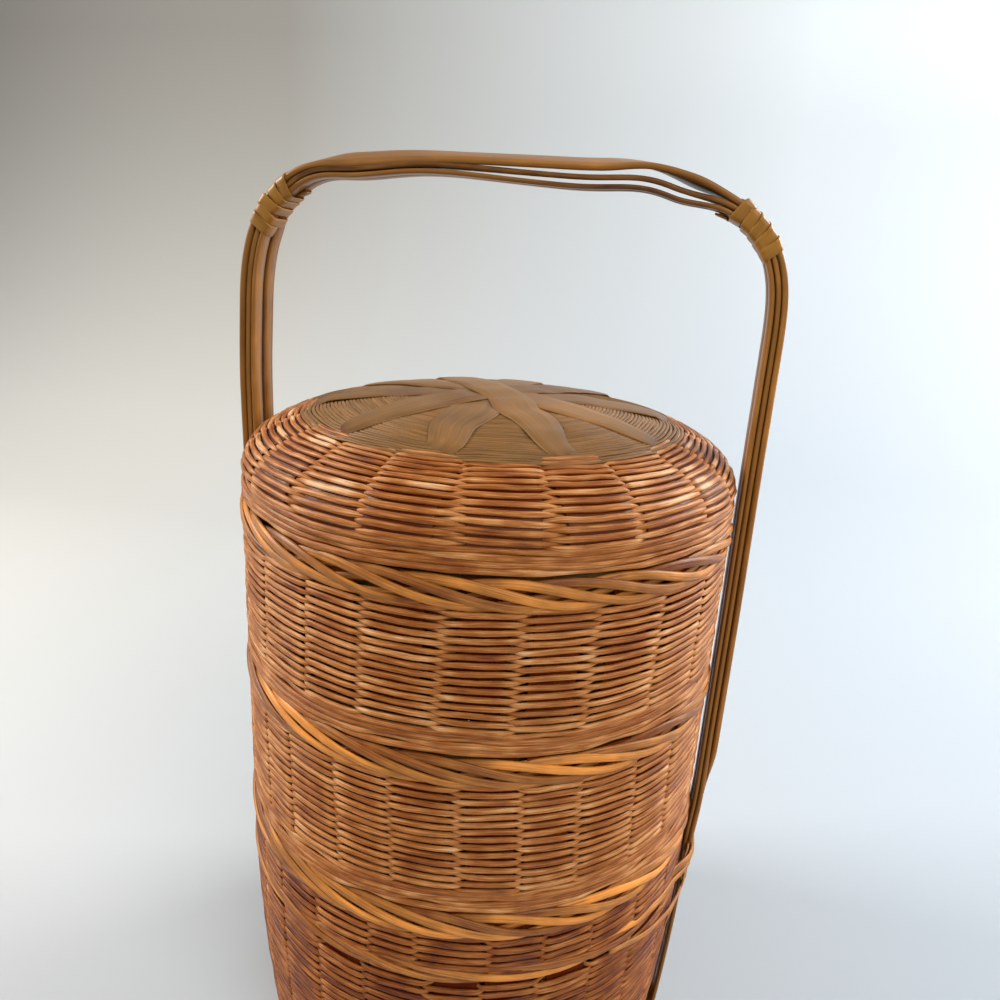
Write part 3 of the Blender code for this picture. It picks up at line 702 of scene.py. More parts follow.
def floor_rings(vessel):
    """Rings of a vessel's floor, woven over and under its splits."""
    pitch = bpy.context.scene.basket_weave.floor_pitch
    radius_level = 0.009
    wall_room = 0.0052
    hub_radius = 0.012
    swing = 0.0010
    half_depth = 0.0006
    count = vessel["stakes"] * 5
    height = vessel["base"] + floor_rise
    around = np.arange(count) * full_turn / count
    place = (around - math.radians(vessel["phase"])) * vessel["stakes"] / full_turn
    outs = ring_points(0.0, around, 1.0)
    tubes = []
    reach = float(bottom_radius(vessel["base"] + radius_level)) - wall_room - pitch / 2
    while reach > hub_radius:
        row = len(tubes)
        seed = vessel["seed"] + row
        points = ring_points(reach, around, height + swing * plain_wave(place, row))
        tones = np.random.default_rng(seed).normal(0.5, 0.12)
        tones = tones + ripple(around, 0.0, 0.06, seed, finest=20)
        tubes.append(sweep(points, outs, pitch * 0.46, half_depth, oval_section(6), True,
                           np.clip(tones, 0, 1)))
        reach -= pitch
    return tubes


def rope(low, high, reach, strand_count, twists, width, depth, seed, bulge=None):
    """Long strands that wind round one another in a flat rope under a rim."""
    swing = 0.00085
    uneven_height = 0.00018
    uneven_lag = 0.16
    steps_per_twist = 34
    steps = twists * steps_per_twist
    around = np.arange(steps) * full_turn / steps
    rise = (high - low - width) / 2
    middle = reach - swing - depth / 2
    if bulge is not None:
        middle = middle + bulge(around)
    tubes = []
    for strand in range(strand_count):
        own_seed = seed + strand
        rng = np.random.default_rng(own_seed)
        lag = full_turn * strand / strand_count + ripple(around, 0.0, uneven_lag, own_seed)
        twist = lag - twists * around
        height = (low + high) / 2 + rise * np.sin(twist)
        height = height + ripple(around, 0.0, uneven_height, own_seed + 60)
        points = ring_points(middle + swing * np.cos(twist), around, height)
        outs = ring_points(1.0, around, 0.25 * np.sin(twist))
        size = 1 + ripple(around, 0.0, 0.06, own_seed + 20, finest=12)
        # Tone of a strand, darker where it passes behind the others: painted shade
        tones = (rng.normal(0.57, 0.13) + ripple(around, 0.0, 0.13, own_seed + 30)
                 - 0.12 * (np.cos(twist) < 0))
        tubes.append(sweep(points, outs, width / 2 * size, depth / 2, oval_section(10), True,
                           np.clip(tones, 0, 1)))
    return tubes


def waling_bulge(around):
    """How far the waling stands out where it passes over a leg of the handle."""
    stand = 0.0040
    start = 0.0255
    run = -0.0170
    to_leg = np.minimum(np.abs(np.remainder(around + math.pi, full_turn) - math.pi),
                        np.abs(np.remainder(around, full_turn) - math.pi))
    return stand * rise_share(to_leg * wall_radius, start, run)


def fine_rings():
    """Fine rings of the crown, out over every other split of the lid."""
    pitch = bpy.context.scene.basket_weave.fine_pitch
    edge_tuck = 0.0026
    hub_radius = 0.0240
    ring_wander = 0.00010
    sink = 0.00030
    swing = 0.00022
    half_depth = 0.00030
    count = lid_stakes * 7
    around = np.arange(count) * full_turn / count
    place = (around - math.radians(lid_phase)) * lid_stakes / full_turn
    outs = unit(ring_points(0.35, around, 1.0))
    tubes = []
    reach = crown_radius + edge_tuck
    while reach > hub_radius:
        seed = lid_seed + len(tubes)
        radius = reach + ripple(around, 0.0, ring_wander, seed, finest=24)
        height = dome_height(radius) - sink + swing * plain_wave(place, 1)
        tones = np.random.default_rng(seed).normal(0.5, 0.09)
        tones = tones + ripple(around, 0.0, 0.08, seed, finest=30)
        tubes.append(sweep(ring_points(radius, around, height), outs, pitch * 0.50, half_depth,
                           oval_section(6), True, np.clip(tones, 0, 1)))
        reach -= pitch
    return tubes


def split_outline(shown):
    """Half outline of a lid split from its middle to the rim, with its outward directions."""
    weave = bpy.context.scene.basket_weave
    wall_depth = weave.strand_depth / 2 + weave.strand_swing
    crown_depth = -0.00012 if shown else 0.00055
    rim_room = 0.0008
    dive_start = crown_radius - 0.0050
    dive_run = 0.0080
    lengths, wall_radii, wall_heights = lid_line()
    flat = np.linspace(0, crown_radius, 26)[:-1]
    reach = np.linspace(lengths[-1], rim_room, 22)
    radii = np.concatenate([flat, np.interp(reach, lengths, wall_radii)])
    heights = np.concatenate([dome_height(flat), np.interp(reach, lengths, wall_heights)])
    out = unit(np.stack([-np.gradient(heights), np.gradient(radii)], -1))
    out[0] = (0.0, 1.0)
    dive = rise_share(radii, dive_start, dive_run)
    depth = crown_depth * (1 - dive) + wall_depth * dive
    return radii - out[:, 0] * depth, heights - out[:, 1] * depth, out, dive


def crown_splits():
    """Flat splits that cross at the lid's middle, dive under its weave and stiffen its wall."""
    weave = bpy.context.scene.basket_weave
    # Each pair's order from below, and how far its shown split is turned, in degrees
    ranks = (0, 3, 1, 4, 2)
    turns = (0.0, 5.0, 2.0, -1.0, -2.0)
    layer_step = 0.00030
    layer_reach = 0.024
    hidden_sink = 0.0006
    hidden_reach = 0.016
    sway_size = 0.0008
    uneven_height = 0.00015
    narrow_start = 0.026
    narrow_run = 0.036
    half_thickness = 0.0003
    half_count = lid_stakes // 2
    spacing = full_turn / lid_stakes
    tubes = []
    for index in range(half_count):
        seed = lid_seed + index
        rng = np.random.default_rng(seed + 300)
        shown = index % 2 == 0
        radii, heights, out, dive = split_outline(shown)
        heights = heights + layer_step * ranks[index // 2] * hump(radii, 0, layer_reach)
        if not shown:
            heights = heights - hidden_sink * hump(radii, 0, hidden_reach)
        across = both_halves(radii, -1)
        share = both_halves(dive)
        start = math.radians(lid_phase) + spacing * index
        angle = np.full(len(across), start)
        for side, further in ((-1, half_count), (1, 0)):
            straight = start + spacing * further
            drift = stake_place(straight, lid_stakes, lid_phase, lid_seed) - index - further
            angle = angle - np.where(across * side > 0, drift * spacing * share, 0.0)
        if shown:
            angle = angle + math.radians(turns[index // 2]) * (1 - share)
        sway = ripple(across * 40, 0.0, sway_size, seed) * (1 - share)
        height = both_halves(heights) + ripple(across * 60, 0.0, uneven_height,
                                               seed + 9) * (1 - share)
        points = np.stack([across * np.cos(angle) - sway * np.sin(angle),
                           across * np.sin(angle) + sway * np.cos(angle), height], -1)
        outs = ring_points(both_halves(out[:, 0], -1), angle, both_halves(out[:, 1]))
        ends = np.where(across < 0, rng.uniform(0.45, 0.60), rng.uniform(0.55, 0.85))
        narrow = rise_share(np.abs(across), narrow_start, narrow_run)
        width = weave.split_width * (1 - (1 - ends) * narrow)
        width = width * (1 + 0.06 * np.sin(across * 55 + index))
        in_weave = rise_share(share, 0.80, 0.20)
        width = width + (weave.stake_share * spacing * wall_radius - width) * in_weave
        tones = rng.normal(0.52, 0.10) + ripple(across * 30, 0.0, 0.08, seed)
        # Where a split dives into the wall's weave its tone falls to the darkest: painted shade in
        # the gaps between the strands
        tones = tones * (1 - share) - 0.30 * share
        tubes.append(sweep(points, unit(outs), width / 2, half_thickness, split_section(0.6),
                           False, tones))
    return tubes


def hoop_line():
    """Outside of the right half of the handle hoop, from its top to under the base."""
    spring = handle_top - arch_rise
    angles = np.linspace(math.pi / 2, 0, 90)
    across = handle_half_width * np.cos(angles) ** (2 / arch_roundness)
    up = spring + arch_rise * np.sin(angles) ** (2 / arch_roundness)
    across[0] = 0.0
    low = hoop_low - closed_depth + hoop_corner_radius
    lean_start = waling_height + lean_start_rise
    heights = np.linspace(spring, low, 120)[1:]
    share = np.clip((lean_start - heights) / (lean_start - low), 0, 1)
    legs = handle_half_width - lean_depth * share * share
    legs = legs - pinch_depth * hump(heights, waling_height, pinch_run)
    turn = np.linspace(0, math.pi / 2, 14)[1:]
    corner_across = legs[-1] - hoop_corner_radius + hoop_corner_radius * np.cos(turn)
    corner_up = low - hoop_corner_radius * np.sin(turn)
    base_across = np.linspace(corner_across[-1], 0, 20)[1:]
    across = np.concatenate([across, legs, corner_across, base_across])
    up = np.concatenate([up, heights, corner_up, np.full(len(base_across), corner_up[-1])])
    lengths = line_lengths(across, up)
    even = np.linspace(0, lengths[-1], 420)
    points = np.stack([np.interp(even, lengths, across), np.interp(even, lengths, up)], -1)
    tangents = unit(np.gradient(points, axis=0))
    inward = np.stack([tangents[:, 1], -tangents[:, 0]], -1)
    inward[0] = (0, -1)
    inward[-1] = (0, 1)
    return even, points, inward


def lie_at(lengths):
    """How far the bent hoop stands out of its even form at signed lengths from its top."""
    left_stand = 0.0008
    right_sink = 0.0003
    out = sum(size * hump(lengths, middle, run) for middle, run, size in hoop_humps)
    fade = rise_share(np.abs(lengths), *leg_fade)
    out = out + left_stand * rise_share(lengths, *left_leg_out) * fade
    return out - right_sink * rise_share(lengths, *right_leg_in) * fade


def spread_at(lengths):
    """Share of the layers' spread at a length from the hoop's top, most on its right side."""
    closed_share = 0.22
    loose_part = 0.0030
    spread_run = -0.0200
    lopsided = closed_share + (1 - closed_share) * rise_share(lengths, *lopsided_spread)
    closed = binding_end + loose_part * (lengths > 0)
    return lopsided * rise_share(np.abs(lengths), closed, spread_run)


def sag_at(lengths):
    """How far the middle and inner strips sag behind the left shoulder."""
    sag = 0.0007
    return sag * hump(lengths, *left_sag)


def inner_drop(lengths):
    """How far the inner strips hang below their closed place at signed lengths."""
    spread = bpy.context.scene.basket_handle.layer_spread
    least_room = 0.0004
    leg_room = 0.0003
    drop = (2 * spread + least_room) * spread_at(lengths) + sag_at(lengths)
    return drop + leg_room * left_looseness(lengths)


def hoop_span(end_height=-math.inf):
    """Signed lengths, places and outward directions of the hoop's outside down to a height."""
    even, points, inward = hoop_line()
    kept = points[:, 1] >= end_height
    sides = (-1, 1)
    return (both_halves(even[kept], -1), both_halves(points[kept], sides),
            both_halves(-inward[kept], sides))


def handle_strip(span, depth, aside, roll, half_width, half_depth, crown_share, closed, tones):
    """A strip at a depth inside the hoop's outside, set aside and rolled about its length."""
    lengths, places, out = span
    path = places - out * (depth - lie_at(lengths))[:, None]
    points = np.stack([path[:, 0], aside * np.ones(len(path)), path[:, 1]], -1)
    outs = np.stack([out[:, 0] * np.cos(roll), -np.sin(roll), out[:, 1] * np.cos(roll)], -1)
    return [sweep(points, outs, half_width, half_depth, split_section(crown_share), closed,
                  tones)]


def left_looseness(lengths):
    """Share by which the left leg's strips lie loose, from its binding to the waling."""
    return rise_share(lengths, *left_loose_start) * rise_share(lengths, *left_loose_end)


def arch_share(lengths):
    """Share of the hoop's top, which fades before the bindings."""
    arch_run = -0.012
    return rise_share(np.abs(lengths), binding_start, arch_run)


def outer_roll(lengths):
    """Turn of the outer strip about its length, most at the left and back at the right."""
    most = bpy.context.scene.basket_handle.crown_roll
    more_left_share = 0.45
    turn_back_share = 0.9
    turn_run = -0.024
    waver = 0.02
    wavers_per_metre = 23
    right = rise_share(lengths, *right_roll_end)
    left = 1.0 + more_left_share * rise_share(lengths, *left_roll_rise)
    back = -turn_back_share * hump(lengths, *right_roll_back)
    turned = rise_share(np.abs(lengths), binding_start, turn_run)
    return most * (right * left + back) * turned + waver * np.sin(lengths * wavers_per_metre)


def strip_tone(lengths, waves_per_metre, start=0.0):
    """Tone of a handle strip, which wavers along its length."""
    mean_tone = 0.53
    waver = 0.08
    return mean_tone + waver * np.sin(lengths * waves_per_metre + start)


def outer_strip():
    """The outer strip of the handle, which tapers and tucks in at both ends."""
    half = outer_strip_thickness / 2
    top_room = 0.0004
    tuck = 0.0007
    tuck_run = 0.02
    taper_run = 0.024
    sheen_leg = (0.09, 0.03)
    leg_sheen_tone = 0.20
    tip_share = 0.12
    span = hoop_span(outer_strip_end)
    lengths = span[0]
    ends = lengths[-1] - np.abs(lengths)
    tip = tip_share + (1 - tip_share) * rise_share(ends, 0.0, taper_run)
    depth = half + top_room * spread_at(lengths) + tuck * rise_share(ends, tuck_run, -tuck_run)
    # The right leg is paler: painted sheen
    tones = strip_tone(lengths, 17) + leg_sheen_tone * rise_share(lengths, *sheen_leg)
    return handle_strip(span, depth, 0.0, outer_roll(lengths), handle_width / 2 * tip,
                        half * (0.3 + 0.7 * tip), 0.25, False, tones)


def middle_strip():
    """The middle strip of the handle, darker along the top with painted shade between the layers.
    """
    grip = bpy.context.scene.basket_handle
    half = middle_strip_thickness / 2
    top_room = 0.0007
    leg_room = 0.0002
    taper_run = 0.016
    sheen_leg = (0.12, 0.04)
    leg_sheen_tone = 0.12
    top_shade_tone = -0.44
    tip_share = 0.35
    span = hoop_span(middle_strip_end)
    lengths = span[0]
    ends = lengths[-1] - np.abs(lengths)
    tip = tip_share + (1 - tip_share) * rise_share(ends, 0.0, taper_run)
    depth = (outer_strip_thickness + layer_gap + half + sag_at(lengths)
             + (grip.layer_spread + top_room) * spread_at(lengths)
             + leg_room * left_looseness(lengths))
    # The right leg is paler: painted sheen
    tones = (strip_tone(lengths, 21, 1) + top_shade_tone * arch_share(lengths)
             + leg_sheen_tone * rise_share(lengths, *sheen_leg))
    return handle_strip(span, depth, 0.0, 0.3 * grip.crown_roll * spread_at(lengths),
                        handle_width * 0.485 * tip, half, 0.1, False, tones)


def inner_strip(sign):
    """One of the two inner strips, which run right round under the base, on its side in y."""
    half = inner_strip_thickness / 2
    loose_gap = 0.0020
    shade_top = (-0.005, 0.030)
    span = [values[:-1] for values in hoop_span()]
    lengths = span[0]
    aside = sign * handle_width / 4 * 1.02 + loose_gap * left_looseness(lengths) * (sign > 0)
    # The strips darken along the hoop's top: painted shade between the layers
    shade_share = rise_share(lengths, *shade_top) * arch_share(lengths)
    tones = 0.50 - 0.06 * sign + 0.10 * np.sin(lengths * 19 + sign) - 0.42 * shade_share
    return handle_strip(span, closed_depth + half + inner_drop(lengths), aside,
                        0.02 * np.sin(lengths * 30), handle_width / 2 * 0.478, half, 0.1, True,
                        tones)


def bundle_at(lengths, side):
    """Middle of the strips' bundle, its inward direction and its depth at lengths on a side."""
    even, points, inward = hoop_line()
    depth = closed_depth + inner_strip_thickness + inner_drop(side * lengths)
    place, normal = (np.stack([np.interp(lengths, even, values[:, i]) for i in (0, 1)], -1)
                     for values in (points, inward))
    normal = unit(normal)
    return place + normal * (depth / 2 - lie_at(side * lengths))[:, None], normal, depth


def wound_turns(side, slants, seed):
    """One flat cane split wound round a shoulder; slants tilt each turn in its place."""
    grip = bpy.context.scene.basket_handle
    crossing_slant = 0.0012
    strip_room = 0.00025
    shingle_share = 0.13
    corner_power = 2 / 5
    turns = len(slants)
    steps = 40
    turn = np.arange(turns * steps + 1) / steps
    angle = full_turn * turn
    slant = np.interp(turn, np.arange(turns) + 0.5, slants)
    along = (binding_end + grip.binding_width / 2 + grip.binding_pitch * turn
             + slant * np.cos(angle))
    place, normal, bundle = bundle_at(along, side)
    crossing = np.convolve(np.abs(slant) > crossing_slant, np.ones(9) / 9, 'same')
    lift = grip.binding_depth / 2 + strip_room + grip.binding_depth * rise_share(crossing, 0, 1)
    half_deep = bundle / 2 + lift
    half_wide = handle_width / 2 + lift
    deep, wide = np.cos(angle), np.sin(angle)
    flat = place + normal * (half_deep * np.sign(deep) * np.abs(deep) ** corner_power)[:, None]
    points = np.stack([side * flat[:, 0], half_wide * np.sign(wide) * np.abs(wide) ** corner_power,
                       flat[:, 1]], -1)
    out_deep = np.sign(deep) * np.abs(deep) ** (2 - corner_power) / half_deep
    out_wide = np.sign(wide) * np.abs(wide) ** (2 - corner_power) / half_wide
    outs = np.stack([side * normal[:, 0] * out_deep, out_wide, normal[:, 1] * out_deep], -1)
    ahead = np.stack([-side * normal[:, 1], np.zeros(len(normal)), normal[:, 0]], -1)
    outs = unit(unit(outs) + shingle_share * ahead)
    tones = np.interp(turn, np.arange(turns) + 0.5,
                      np.random.default_rng(seed).uniform(0.40, 0.72, turns))
    return [sweep(points, outs, grip.binding_width / 2, grip.binding_depth / 2,
                  split_section(0.3), False, tones)]


def loose_end(points, width, depth, tone):
    """A short tapered end of a strand along rough points."""
    smoothings = 4
    inside_share = 0.6
    taper_share = 0.6
    ends = np.array(points, float)
    place = np.linspace(0, len(ends) - 1, 6 * len(ends))
    path = np.stack([np.interp(place, np.arange(len(ends)), ends[:, i]) for i in range(3)], -1)
    for _ in range(smoothings):
        path[1:-1] = (path[:-2] + 2 * path[1:-1] + path[2:]) / 4
    middle = np.array([inside_share * wall_radius, 0.0, 0.0])
    outs = (path - middle) * (1, 1, 0)
    taper = 1 - taper_share * np.linspace(0, 1, len(path)) ** 3
    return sweep(path, unit(outs), width / 2 * taper, depth / 2 * taper, oval_section(8),
                 False, np.full(len(path), tone))


def leg_ties():
    """Two ends of waling strands that cross over the right leg below the waling."""
    _, points, _ = hoop_line()
    half = points[:, 1] < handle_top - arch_rise
    drop = 0.017
    tuck = 0.0030
    past_edge = 0.0010
    widths = (0.0024, 0.0022)
    depths = (0.0011, 0.0010)
    tones = (0.55, 0.48)
    start = drop - tuck
    low = waling_height - drop
    edge = handle_width / 2
    # Points in the wall: azimuth in degrees, height above low and way out of the wall's outside
    upper_wall = ((-44, start, 0.0), (-32, 0.0105, 0.0007), (-20, 0.0065, 0.0009),
                  (-10, 0.0020, 0.0016))
    lower_wall = ((12, start, 0.0008), (-9, -0.0020, 0.0012), (-16, -0.0045, 0.0))
    # Points over the leg: y, height above low and way out of the inner strips' outside
    upper_leg = ((-edge - past_edge, 0.0008, 0.0), (-edge / 2, 0.0015, 0.0008),
                 (0.0010, 0.0035, 0.0016))
    lower_leg = ((edge, 0.0125, 0.0005), (0.0, 0.0085, 0.0009), (-edge, 0.0030, 0.0008))

    def on_wall(degrees, rise, stand):
        angle = math.radians(degrees)
        reach = float(bottom_radius(low + rise)) + stand
        return (reach * math.cos(angle), reach * math.sin(angle), low + rise)

    def on_leg(across, rise, stand):
        outside = np.interp(low + rise, points[half][::-1, 1], points[half][::-1, 0])
        return (outside - closed_depth + stand, across, low + rise)

    upper = [on_wall(*place) for place in upper_wall] + [on_leg(*place) for place in upper_leg]
    lower = ([on_wall(*lower_wall[0])] + [on_leg(*place) for place in lower_leg]
             + [on_wall(*place) for place in lower_wall[1:]])
    return [loose_end(*end) for end in zip((upper, lower), widths, depths, tones)]


class BASKET_OT_walls(bpy.types.Operator):
    """Weave the walls of the lid, the tiers and the bottom basket"""

    bl_idname = "basket.walls"
    bl_label = "Weave the walls"

    def execute(self, context):
        weave = context.scene.basket_weave
        rattan = fibre_material("varnished_rattan_core")
        bottom, lower, upper = (vessels[name] for name in ("bottom", "lower_tier", "upper_tier"))
        above = dict(bottom, seed=bottom["seed"] + 7)
        above_start = 0.0002
        top_pitch_share = 0.78
        worn_shares = (0.42, 0.90)
        lid = {"body": "lid", "stakes": lid_stakes, "phase": lid_phase, "lean": 0.0,
               "seed": lid_seed, "tone": -0.05}
        # Each wall's name, node, vessel, outline, waling rows, pitch and further row settings
        walls = (
            ("lower_tier_weave", "lower_tier_wall", lower,
             straight_line(lower["low"], lower["high"] + border_tuck), 4, weave.lower_pitch),
            ("upper_tier_weave", "upper_tier_wall", upper,
             straight_line(upper["low"], upper["high"] + border_tuck), 4, weave.upper_pitch),
            ("bottom_weave_below_waling", "bottom_wall", bottom,
             straight_line(bottom["low"], waling_low), 3, weave.bottom_pitch),
            ("bottom_weave_above_waling", "bottom_wall", above,
             straight_line(waling_low, bottom["high"] + border_tuck), 0, weave.bottom_pitch,
             above_start),
            ("lid_weave", "lid_wall", lid, lid_line(), 4, weave.lid_pitch, 0.0,
             weave.lid_pitch * top_pitch_share, worn_shares))
        for name, node, vessel, line, *rows in walls:
            lay_strands(name, woven_wall(line, vessel, *rows), rattan, vessel["body"],
                        "woven_rattan", node)
        return {'FINISHED'}


class BASKET_OT_splits(bpy.types.Operator):
    """Set the upright splits that the walls are woven round"""

    bl_idname = "basket.splits"
    bl_label = "Set the splits"

    def execute(self, context):
        bamboo = fibre_material("matt_bamboo_split")
        for name, vessel in vessels.items():
            lay_strands(name + "_splits", vessel_splits(vessel), bamboo, vessel["body"],
                        "bamboo_splits", name + "_stakes")
        return {'FINISHED'}


class BASKET_OT_floors(bpy.types.Operator):
    """Weave the floors of the three vessels"""

    bl_idname = "basket.floors"
    bl_label = "Weave the floors"

    def execute(self, context):
        rattan = fibre_material("varnished_rattan_core")
        for name, vessel in vessels.items():
            lay_strands(name + "_floor_weave", floor_rings(vessel), rattan, vessel["body"],
                        "fine_weave", name + "_floor")
        return {'FINISHED'}


class BASKET_OT_borders(bpy.types.Operator):
    """Twist the rope-like borders at the top of each vessel"""

    bl_idname = "basket.borders"
    bl_label = "Twist the borders"

    def execute(self, context):
        weave = context.scene.basket_weave
        rattan = fibre_material("golden_rattan_strand")
        wall_gap = 0.0001
        rim_gap = 0.0004
        stand = 0.0008
        for name, vessel in vessels.items():
            tubes = rope(vessel["high"] + wall_gap, vessel["top"] - rim_gap, wall_radius + stand,
                         weave.border_count, weave.border_twists, weave.border_strand,
                         weave.border_depth, vessel["seed"])
            lay_strands(name + "_border", tubes, rattan, vessel["body"], "border_rattan",
                        *(name + "_border_strand_" + str(i) for i in (1, 2, 3)))
        return {'FINISHED'}


class BASKET_OT_waling(bpy.types.Operator):
    """Lay the thick strands that tie the handle to the bottom basket"""

    bl_idname = "basket.waling"
    bl_label = "Lay the waling"

    def execute(self, context):
        room = 0.0003
        stand = 0.0006
        strands = 3
        twists = 5
        width = 0.0025
        depth = 0.0014
        tubes = rope(waling_low - room, waling_high + room, wall_radius + stand, strands, twists,
                     width, depth, 97, waling_bulge)
        lay_strands("bottom_waling", tubes + leg_ties(), fibre_material("golden_rattan_strand"),
                    "bottom_basket", "waling_rattan", "bottom_waling_lower",
                    "bottom_waling_upper")
        return {'FINISHED'}


class BASKET_OT_crown(bpy.types.Operator):
    """Lay the fine rings and the crossing splits in the middle of the lid"""

    bl_idname = "basket.crown"
    bl_label = "Lay the crown"

    def execute(self, context):
        lay_strands("lid_fine_weave", fine_rings(), fibre_material("fine_bamboo_strand"), "lid",
                    "fine_weave", "lid_crown")
        lay_strands("lid_splits", crown_splits(), fibre_material("aged_bamboo_split"), "lid",
                    "bamboo_splits", "lid_stakes")
        return {'FINISHED'}


class BASKET_OT_handle(bpy.types.Operator):
    """Bend the strips of the handle"""

    bl_idname = "basket.handle"
    bl_label = "Bend the handle"

    def execute(self, context):
        bamboo = fibre_material("heat_bent_bamboo")
        # Each piece, the node that it stands for and its strip
        strips = (("outer", "outer_strip", outer_strip()),
                  ("middle", "middle_strip", middle_strip()),
                  ("inner_front", "inner_strip_front", inner_strip(-1)),
                  ("inner_back", "inner_strip_back", inner_strip(1)))
        for piece, node, tubes in strips:
            lay_strands("handle_" + piece, tubes, bamboo, "bottom_basket", "handle_bamboo",
                        "handle_" + node)
        return {'FINISHED'}


class BASKET_OT_bindings(bpy.types.Operator):
    """Wind the cane bindings round the shoulders of the handle"""

    bl_idname = "basket.bindings"
    bl_label = "Wind the bindings"

    def execute(self, context):
        cane = fibre_material("glossy_cane_split")
        left_slants = (0.0006, 0.0008, -0.0020, 0.0006, 0.0004)
        right_slants = (-0.0018, 0.0007, 0.0009, 0.0010, 0.0002)
        for side, sign, slants, seed in (("left", -1, left_slants, 3),
                                         ("right", 1, right_slants, 8)):
            lay_strands("handle_binding_on_" + side, wound_turns(sign, slants, seed), cane,
                        "bottom_basket", "binding_split", "handle_binding_" + side)
        return {'FINISHED'}


class BASKET_OT_hoops(bpy.types.Operator):
    """Give the bamboo hoops and the foot ring their finish"""

    bl_idname = "basket.hoops"
    bl_label = "Finish the hoops"

    def execute(self, context):
        bamboo = bamboo_hoop()
        for name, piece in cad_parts.items():
            if name.endswith(("_collar", "_foot_hoop", "_foot_ring")):
                piece.data.materials.clear()
                piece.data.materials.append(bamboo)
        if not bamboo.users:
            raise RuntimeError("the frame has no hoops to finish")
        return {'FINISHED'}


class BASKET_OT_stage(bpy.types.Operator):
    """Set up the pale floor with its curved backdrop, the lamps and the camera"""

    bl_idname = "basket.stage"
    bl_label = "Set the stage"

    def execute(self, context):
        stage_floor()
        stage_lamps()
        stage_camera()
        return {'FINISHED'}


def stage_floor():
    """Model the floor that curves up to a backdrop far behind the basket."""
    reach = 1.6
    depth = 0.9
    height = 2.4
    bpy.ops.object.select_all(action='DESELECT')
    bpy.ops.mesh.primitive_plane_add(size=2 * reach, location=(0, depth - reach, 0))
    floor = bpy.context.object
    floor.name = "studio_floor"
    mesh = floor.data

    def select_edges(level):
        bpy.ops.object.mode_set(mode='EDIT')
        bpy.ops.mesh.select_mode(type='EDGE')
        bpy.ops.mesh.select_all(action='DESELECT')
        bpy.ops.object.mode_set(mode='OBJECT')
        for edge in mesh.edges:
            ends = [mesh.vertices[i].co for i in edge.vertices]
            edge.select = all(end.y > 0 and abs(end.z) < level for end in ends)
        bpy.ops.object.mode_set(mode='EDIT')

    select_edges(height)
    bpy.ops.mesh.extrude_region_move(TRANSFORM_OT_translate={"value": (0, 0, height)})
    select_edges(height / 2)
    bpy.ops.mesh.bevel(offset=depth / 2, segments=24)
    bpy.ops.object.mode_set(mode='OBJECT')
    bpy.ops.object.transform_apply(location=True, rotation=True, scale=True)
    bpy.ops.object.shade_smooth()
    mesh.materials.append(studio_surface())


def studio_surface():
    """Matt pale sheet, greyer at its left and where it rises behind the basket, as painted shade.
    """
    finish = bpy.context.scene.basket_finish
    # Painted shade across the sheet, from its darker left to its brighter right
    painted_shade_across = {"From Min": -0.50, "From Max": 0.20}
    fade_up = {"From Min": 0.05, "From Max": 0.55}
    material, shader = new_material("matt_pale_sheet", 0.9, 1.45)
    place = add_node(material, "ShaderNodeTexCoord")
    split = add_node(material, "ShaderNodeSeparateXYZ", None,
                     {"Vector": place.outputs["Object"]})
    share = add_node(material, "ShaderNodeMapRange", painted_shade_across, {"Value": split.outputs["X"]})
    raised = add_node(material, "ShaderNodeMapRange", fade_up, {"Value": split.outputs["Z"]})
    ramps = []
    for left, right in ((finish.floor_left, finish.floor_white),
                        (finish.wall_left, finish.wall_right)):
        ramp = add_node(material, "ShaderNodeValToRGB", None, {"Fac": share.outputs["Result"]})
        set_ramp(ramp, [(0.0, left), (1.0, right)])
        ramps.append(ramp.outputs["Color"])
    mixed = add_node(material, "ShaderNodeMix", {"data_type": 'RGBA'},
                     {"Factor": raised.outputs["Result"], "A": ramps[0], "B": ramps[1]})
    material.node_tree.links.new(mixed.outputs["Result"], shader.inputs["Base Color"])
    return material


def stage_lamps():
    """Add soft lamps at the right front, at the left and behind, and a pale sky."""
    # Each lamp's name, place and size in metres, and its power in watts
    lamps = (("key_lamp", (0.70, -0.75, 1.00), 0.7, 9.5),
             ("window_lamp", (-0.95, -0.05, 0.72), 0.35, 12.5),
             ("back_lamp", (1.00, 0.70, 0.80), 0.6, 20.0))
    middle = Vector((0, 0, handle_top / 2))
    for name, place, size, power in lamps:
        bpy.ops.object.light_add(type='AREA', location=place)
        lamp = bpy.context.object
        lamp.name = name
        lamp.data.size = size
        lamp.data.energy = power
        lamp.rotation_euler = (middle - Vector(place)).to_track_quat('-Z', 'Y').to_euler()
    scene = bpy.context.scene
    scene.world = scene.world or bpy.data.worlds.new("studio_world")
    scene.world.use_nodes = True
    sky = scene.world.node_tree.nodes["Background"]
    sky.inputs["Color"].default_value = linear_colour("eceded")
    sky.inputs["Strength"].default_value = 0.60


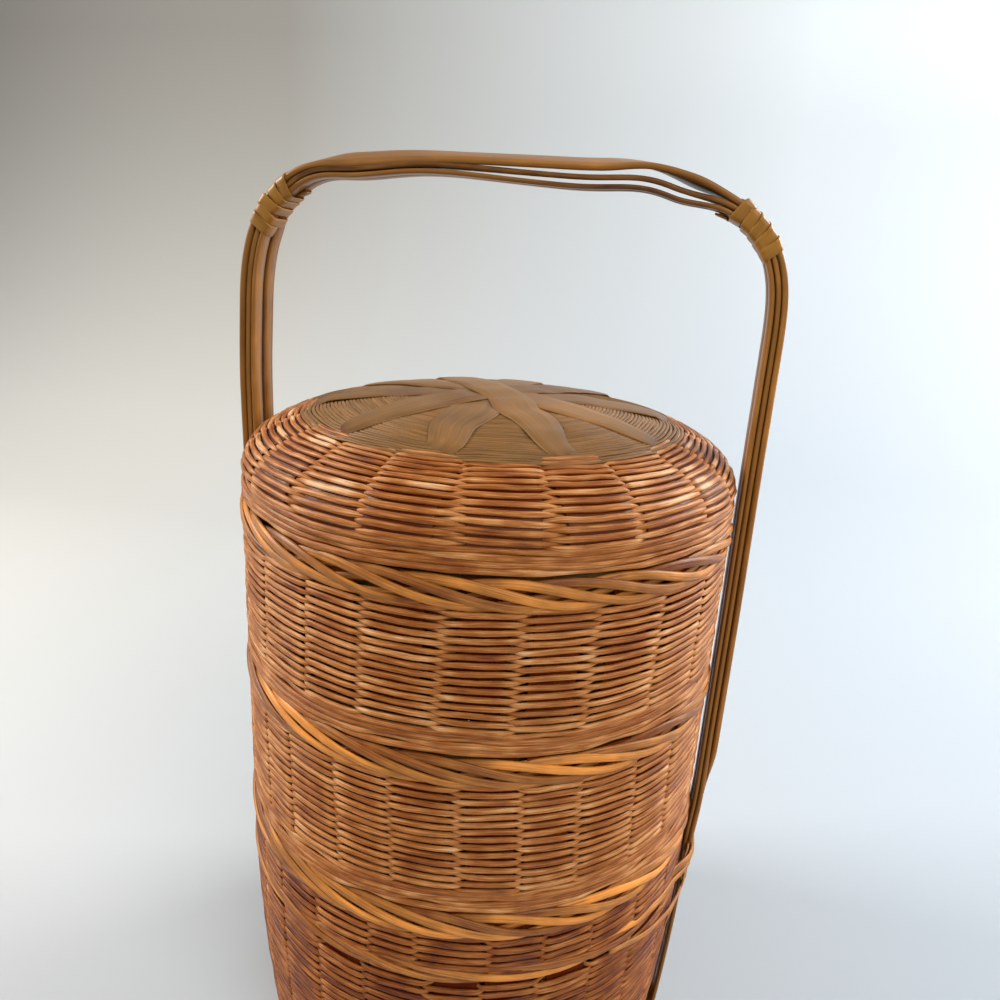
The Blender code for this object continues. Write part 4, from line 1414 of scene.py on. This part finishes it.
def stage_camera():
    """Set the camera in front, a little right of the middle, tipped down and rolled."""
    place = Vector((0.04975, -0.24600, 0.28128))
    heading = math.radians(10.547)
    pitch = 0.31157
    roll = 0.06017
    ahead = Vector((-math.sin(heading), math.cos(heading), 0))
    side = Vector((math.cos(heading), math.sin(heading), 0))
    up = Vector((0, 0, 1))
    look = ahead * math.cos(pitch) - up * math.sin(pitch)
    top = up * math.cos(pitch) + ahead * math.sin(pitch)
    right = side * math.cos(roll) + top * math.sin(roll)
    crest = top * math.cos(roll) - side * math.sin(roll)
    turn = Matrix((right, crest, -look)).transposed()
    bpy.ops.object.camera_add()
    camera = bpy.context.object
    camera.name = "camera"
    camera.matrix_world = Matrix.Translation(place) @ turn.to_4x4()
    camera.data.sensor_width = 36.0
    camera.data.lens = 28.277
    camera.data.clip_start = 0.01
    bpy.context.scene.camera = camera
    bpy.context.scene.view_settings.view_transform = 'Standard'


class BASKET_PT_pieces(bpy.types.Panel):
    """Sidebar list of the basket's pieces"""

    bl_idname = "BASKET_PT_pieces"
    bl_label = "Food basket"
    bl_space_type = 'VIEW_3D'
    bl_region_type = 'UI'
    bl_category = "Basket"

    def draw(self, context):
        for piece in piece_operators:
            self.layout.operator(piece.bl_idname)
        for group in (context.scene.basket_weave, context.scene.basket_handle,
                      context.scene.basket_finish):
            for name in group.__annotations__:
                self.layout.prop(group, name)


piece_operators = (BASKET_OT_walls, BASKET_OT_splits, BASKET_OT_floors, BASKET_OT_borders,
                   BASKET_OT_waling, BASKET_OT_crown, BASKET_OT_handle, BASKET_OT_bindings,
                   BASKET_OT_hoops, BASKET_OT_stage)
setting_groups = {"basket_weave": BasketWeaveSettings, "basket_handle": BasketHandleSettings,
                  "basket_finish": BasketFinishSettings}


def register():
    """Register the settings, the operators and the panel."""
    for name, group in setting_groups.items():
        bpy.utils.register_class(group)
        setattr(bpy.types.Scene, name, PointerProperty(type=group))
    for piece in piece_operators:
        bpy.utils.register_class(piece)
    bpy.utils.register_class(BASKET_PT_pieces)


def unregister():
    """Take the panel, the operators and the settings out again."""
    bpy.utils.unregister_class(BASKET_PT_pieces)
    for piece in reversed(piece_operators):
        bpy.utils.unregister_class(piece)
    for name, group in reversed(list(setting_groups.items())):
        delattr(bpy.types.Scene, name)
        bpy.utils.unregister_class(group)


def main():
    """Build every piece in order."""
    register()
    bpy.ops.basket.walls()
    bpy.ops.basket.splits()
    bpy.ops.basket.floors()
    bpy.ops.basket.borders()
    bpy.ops.basket.waling()
    bpy.ops.basket.crown()
    bpy.ops.basket.handle()
    bpy.ops.basket.bindings()
    bpy.ops.basket.hoops()
    bpy.ops.basket.stage()


if __name__ == "__main__":
    main()
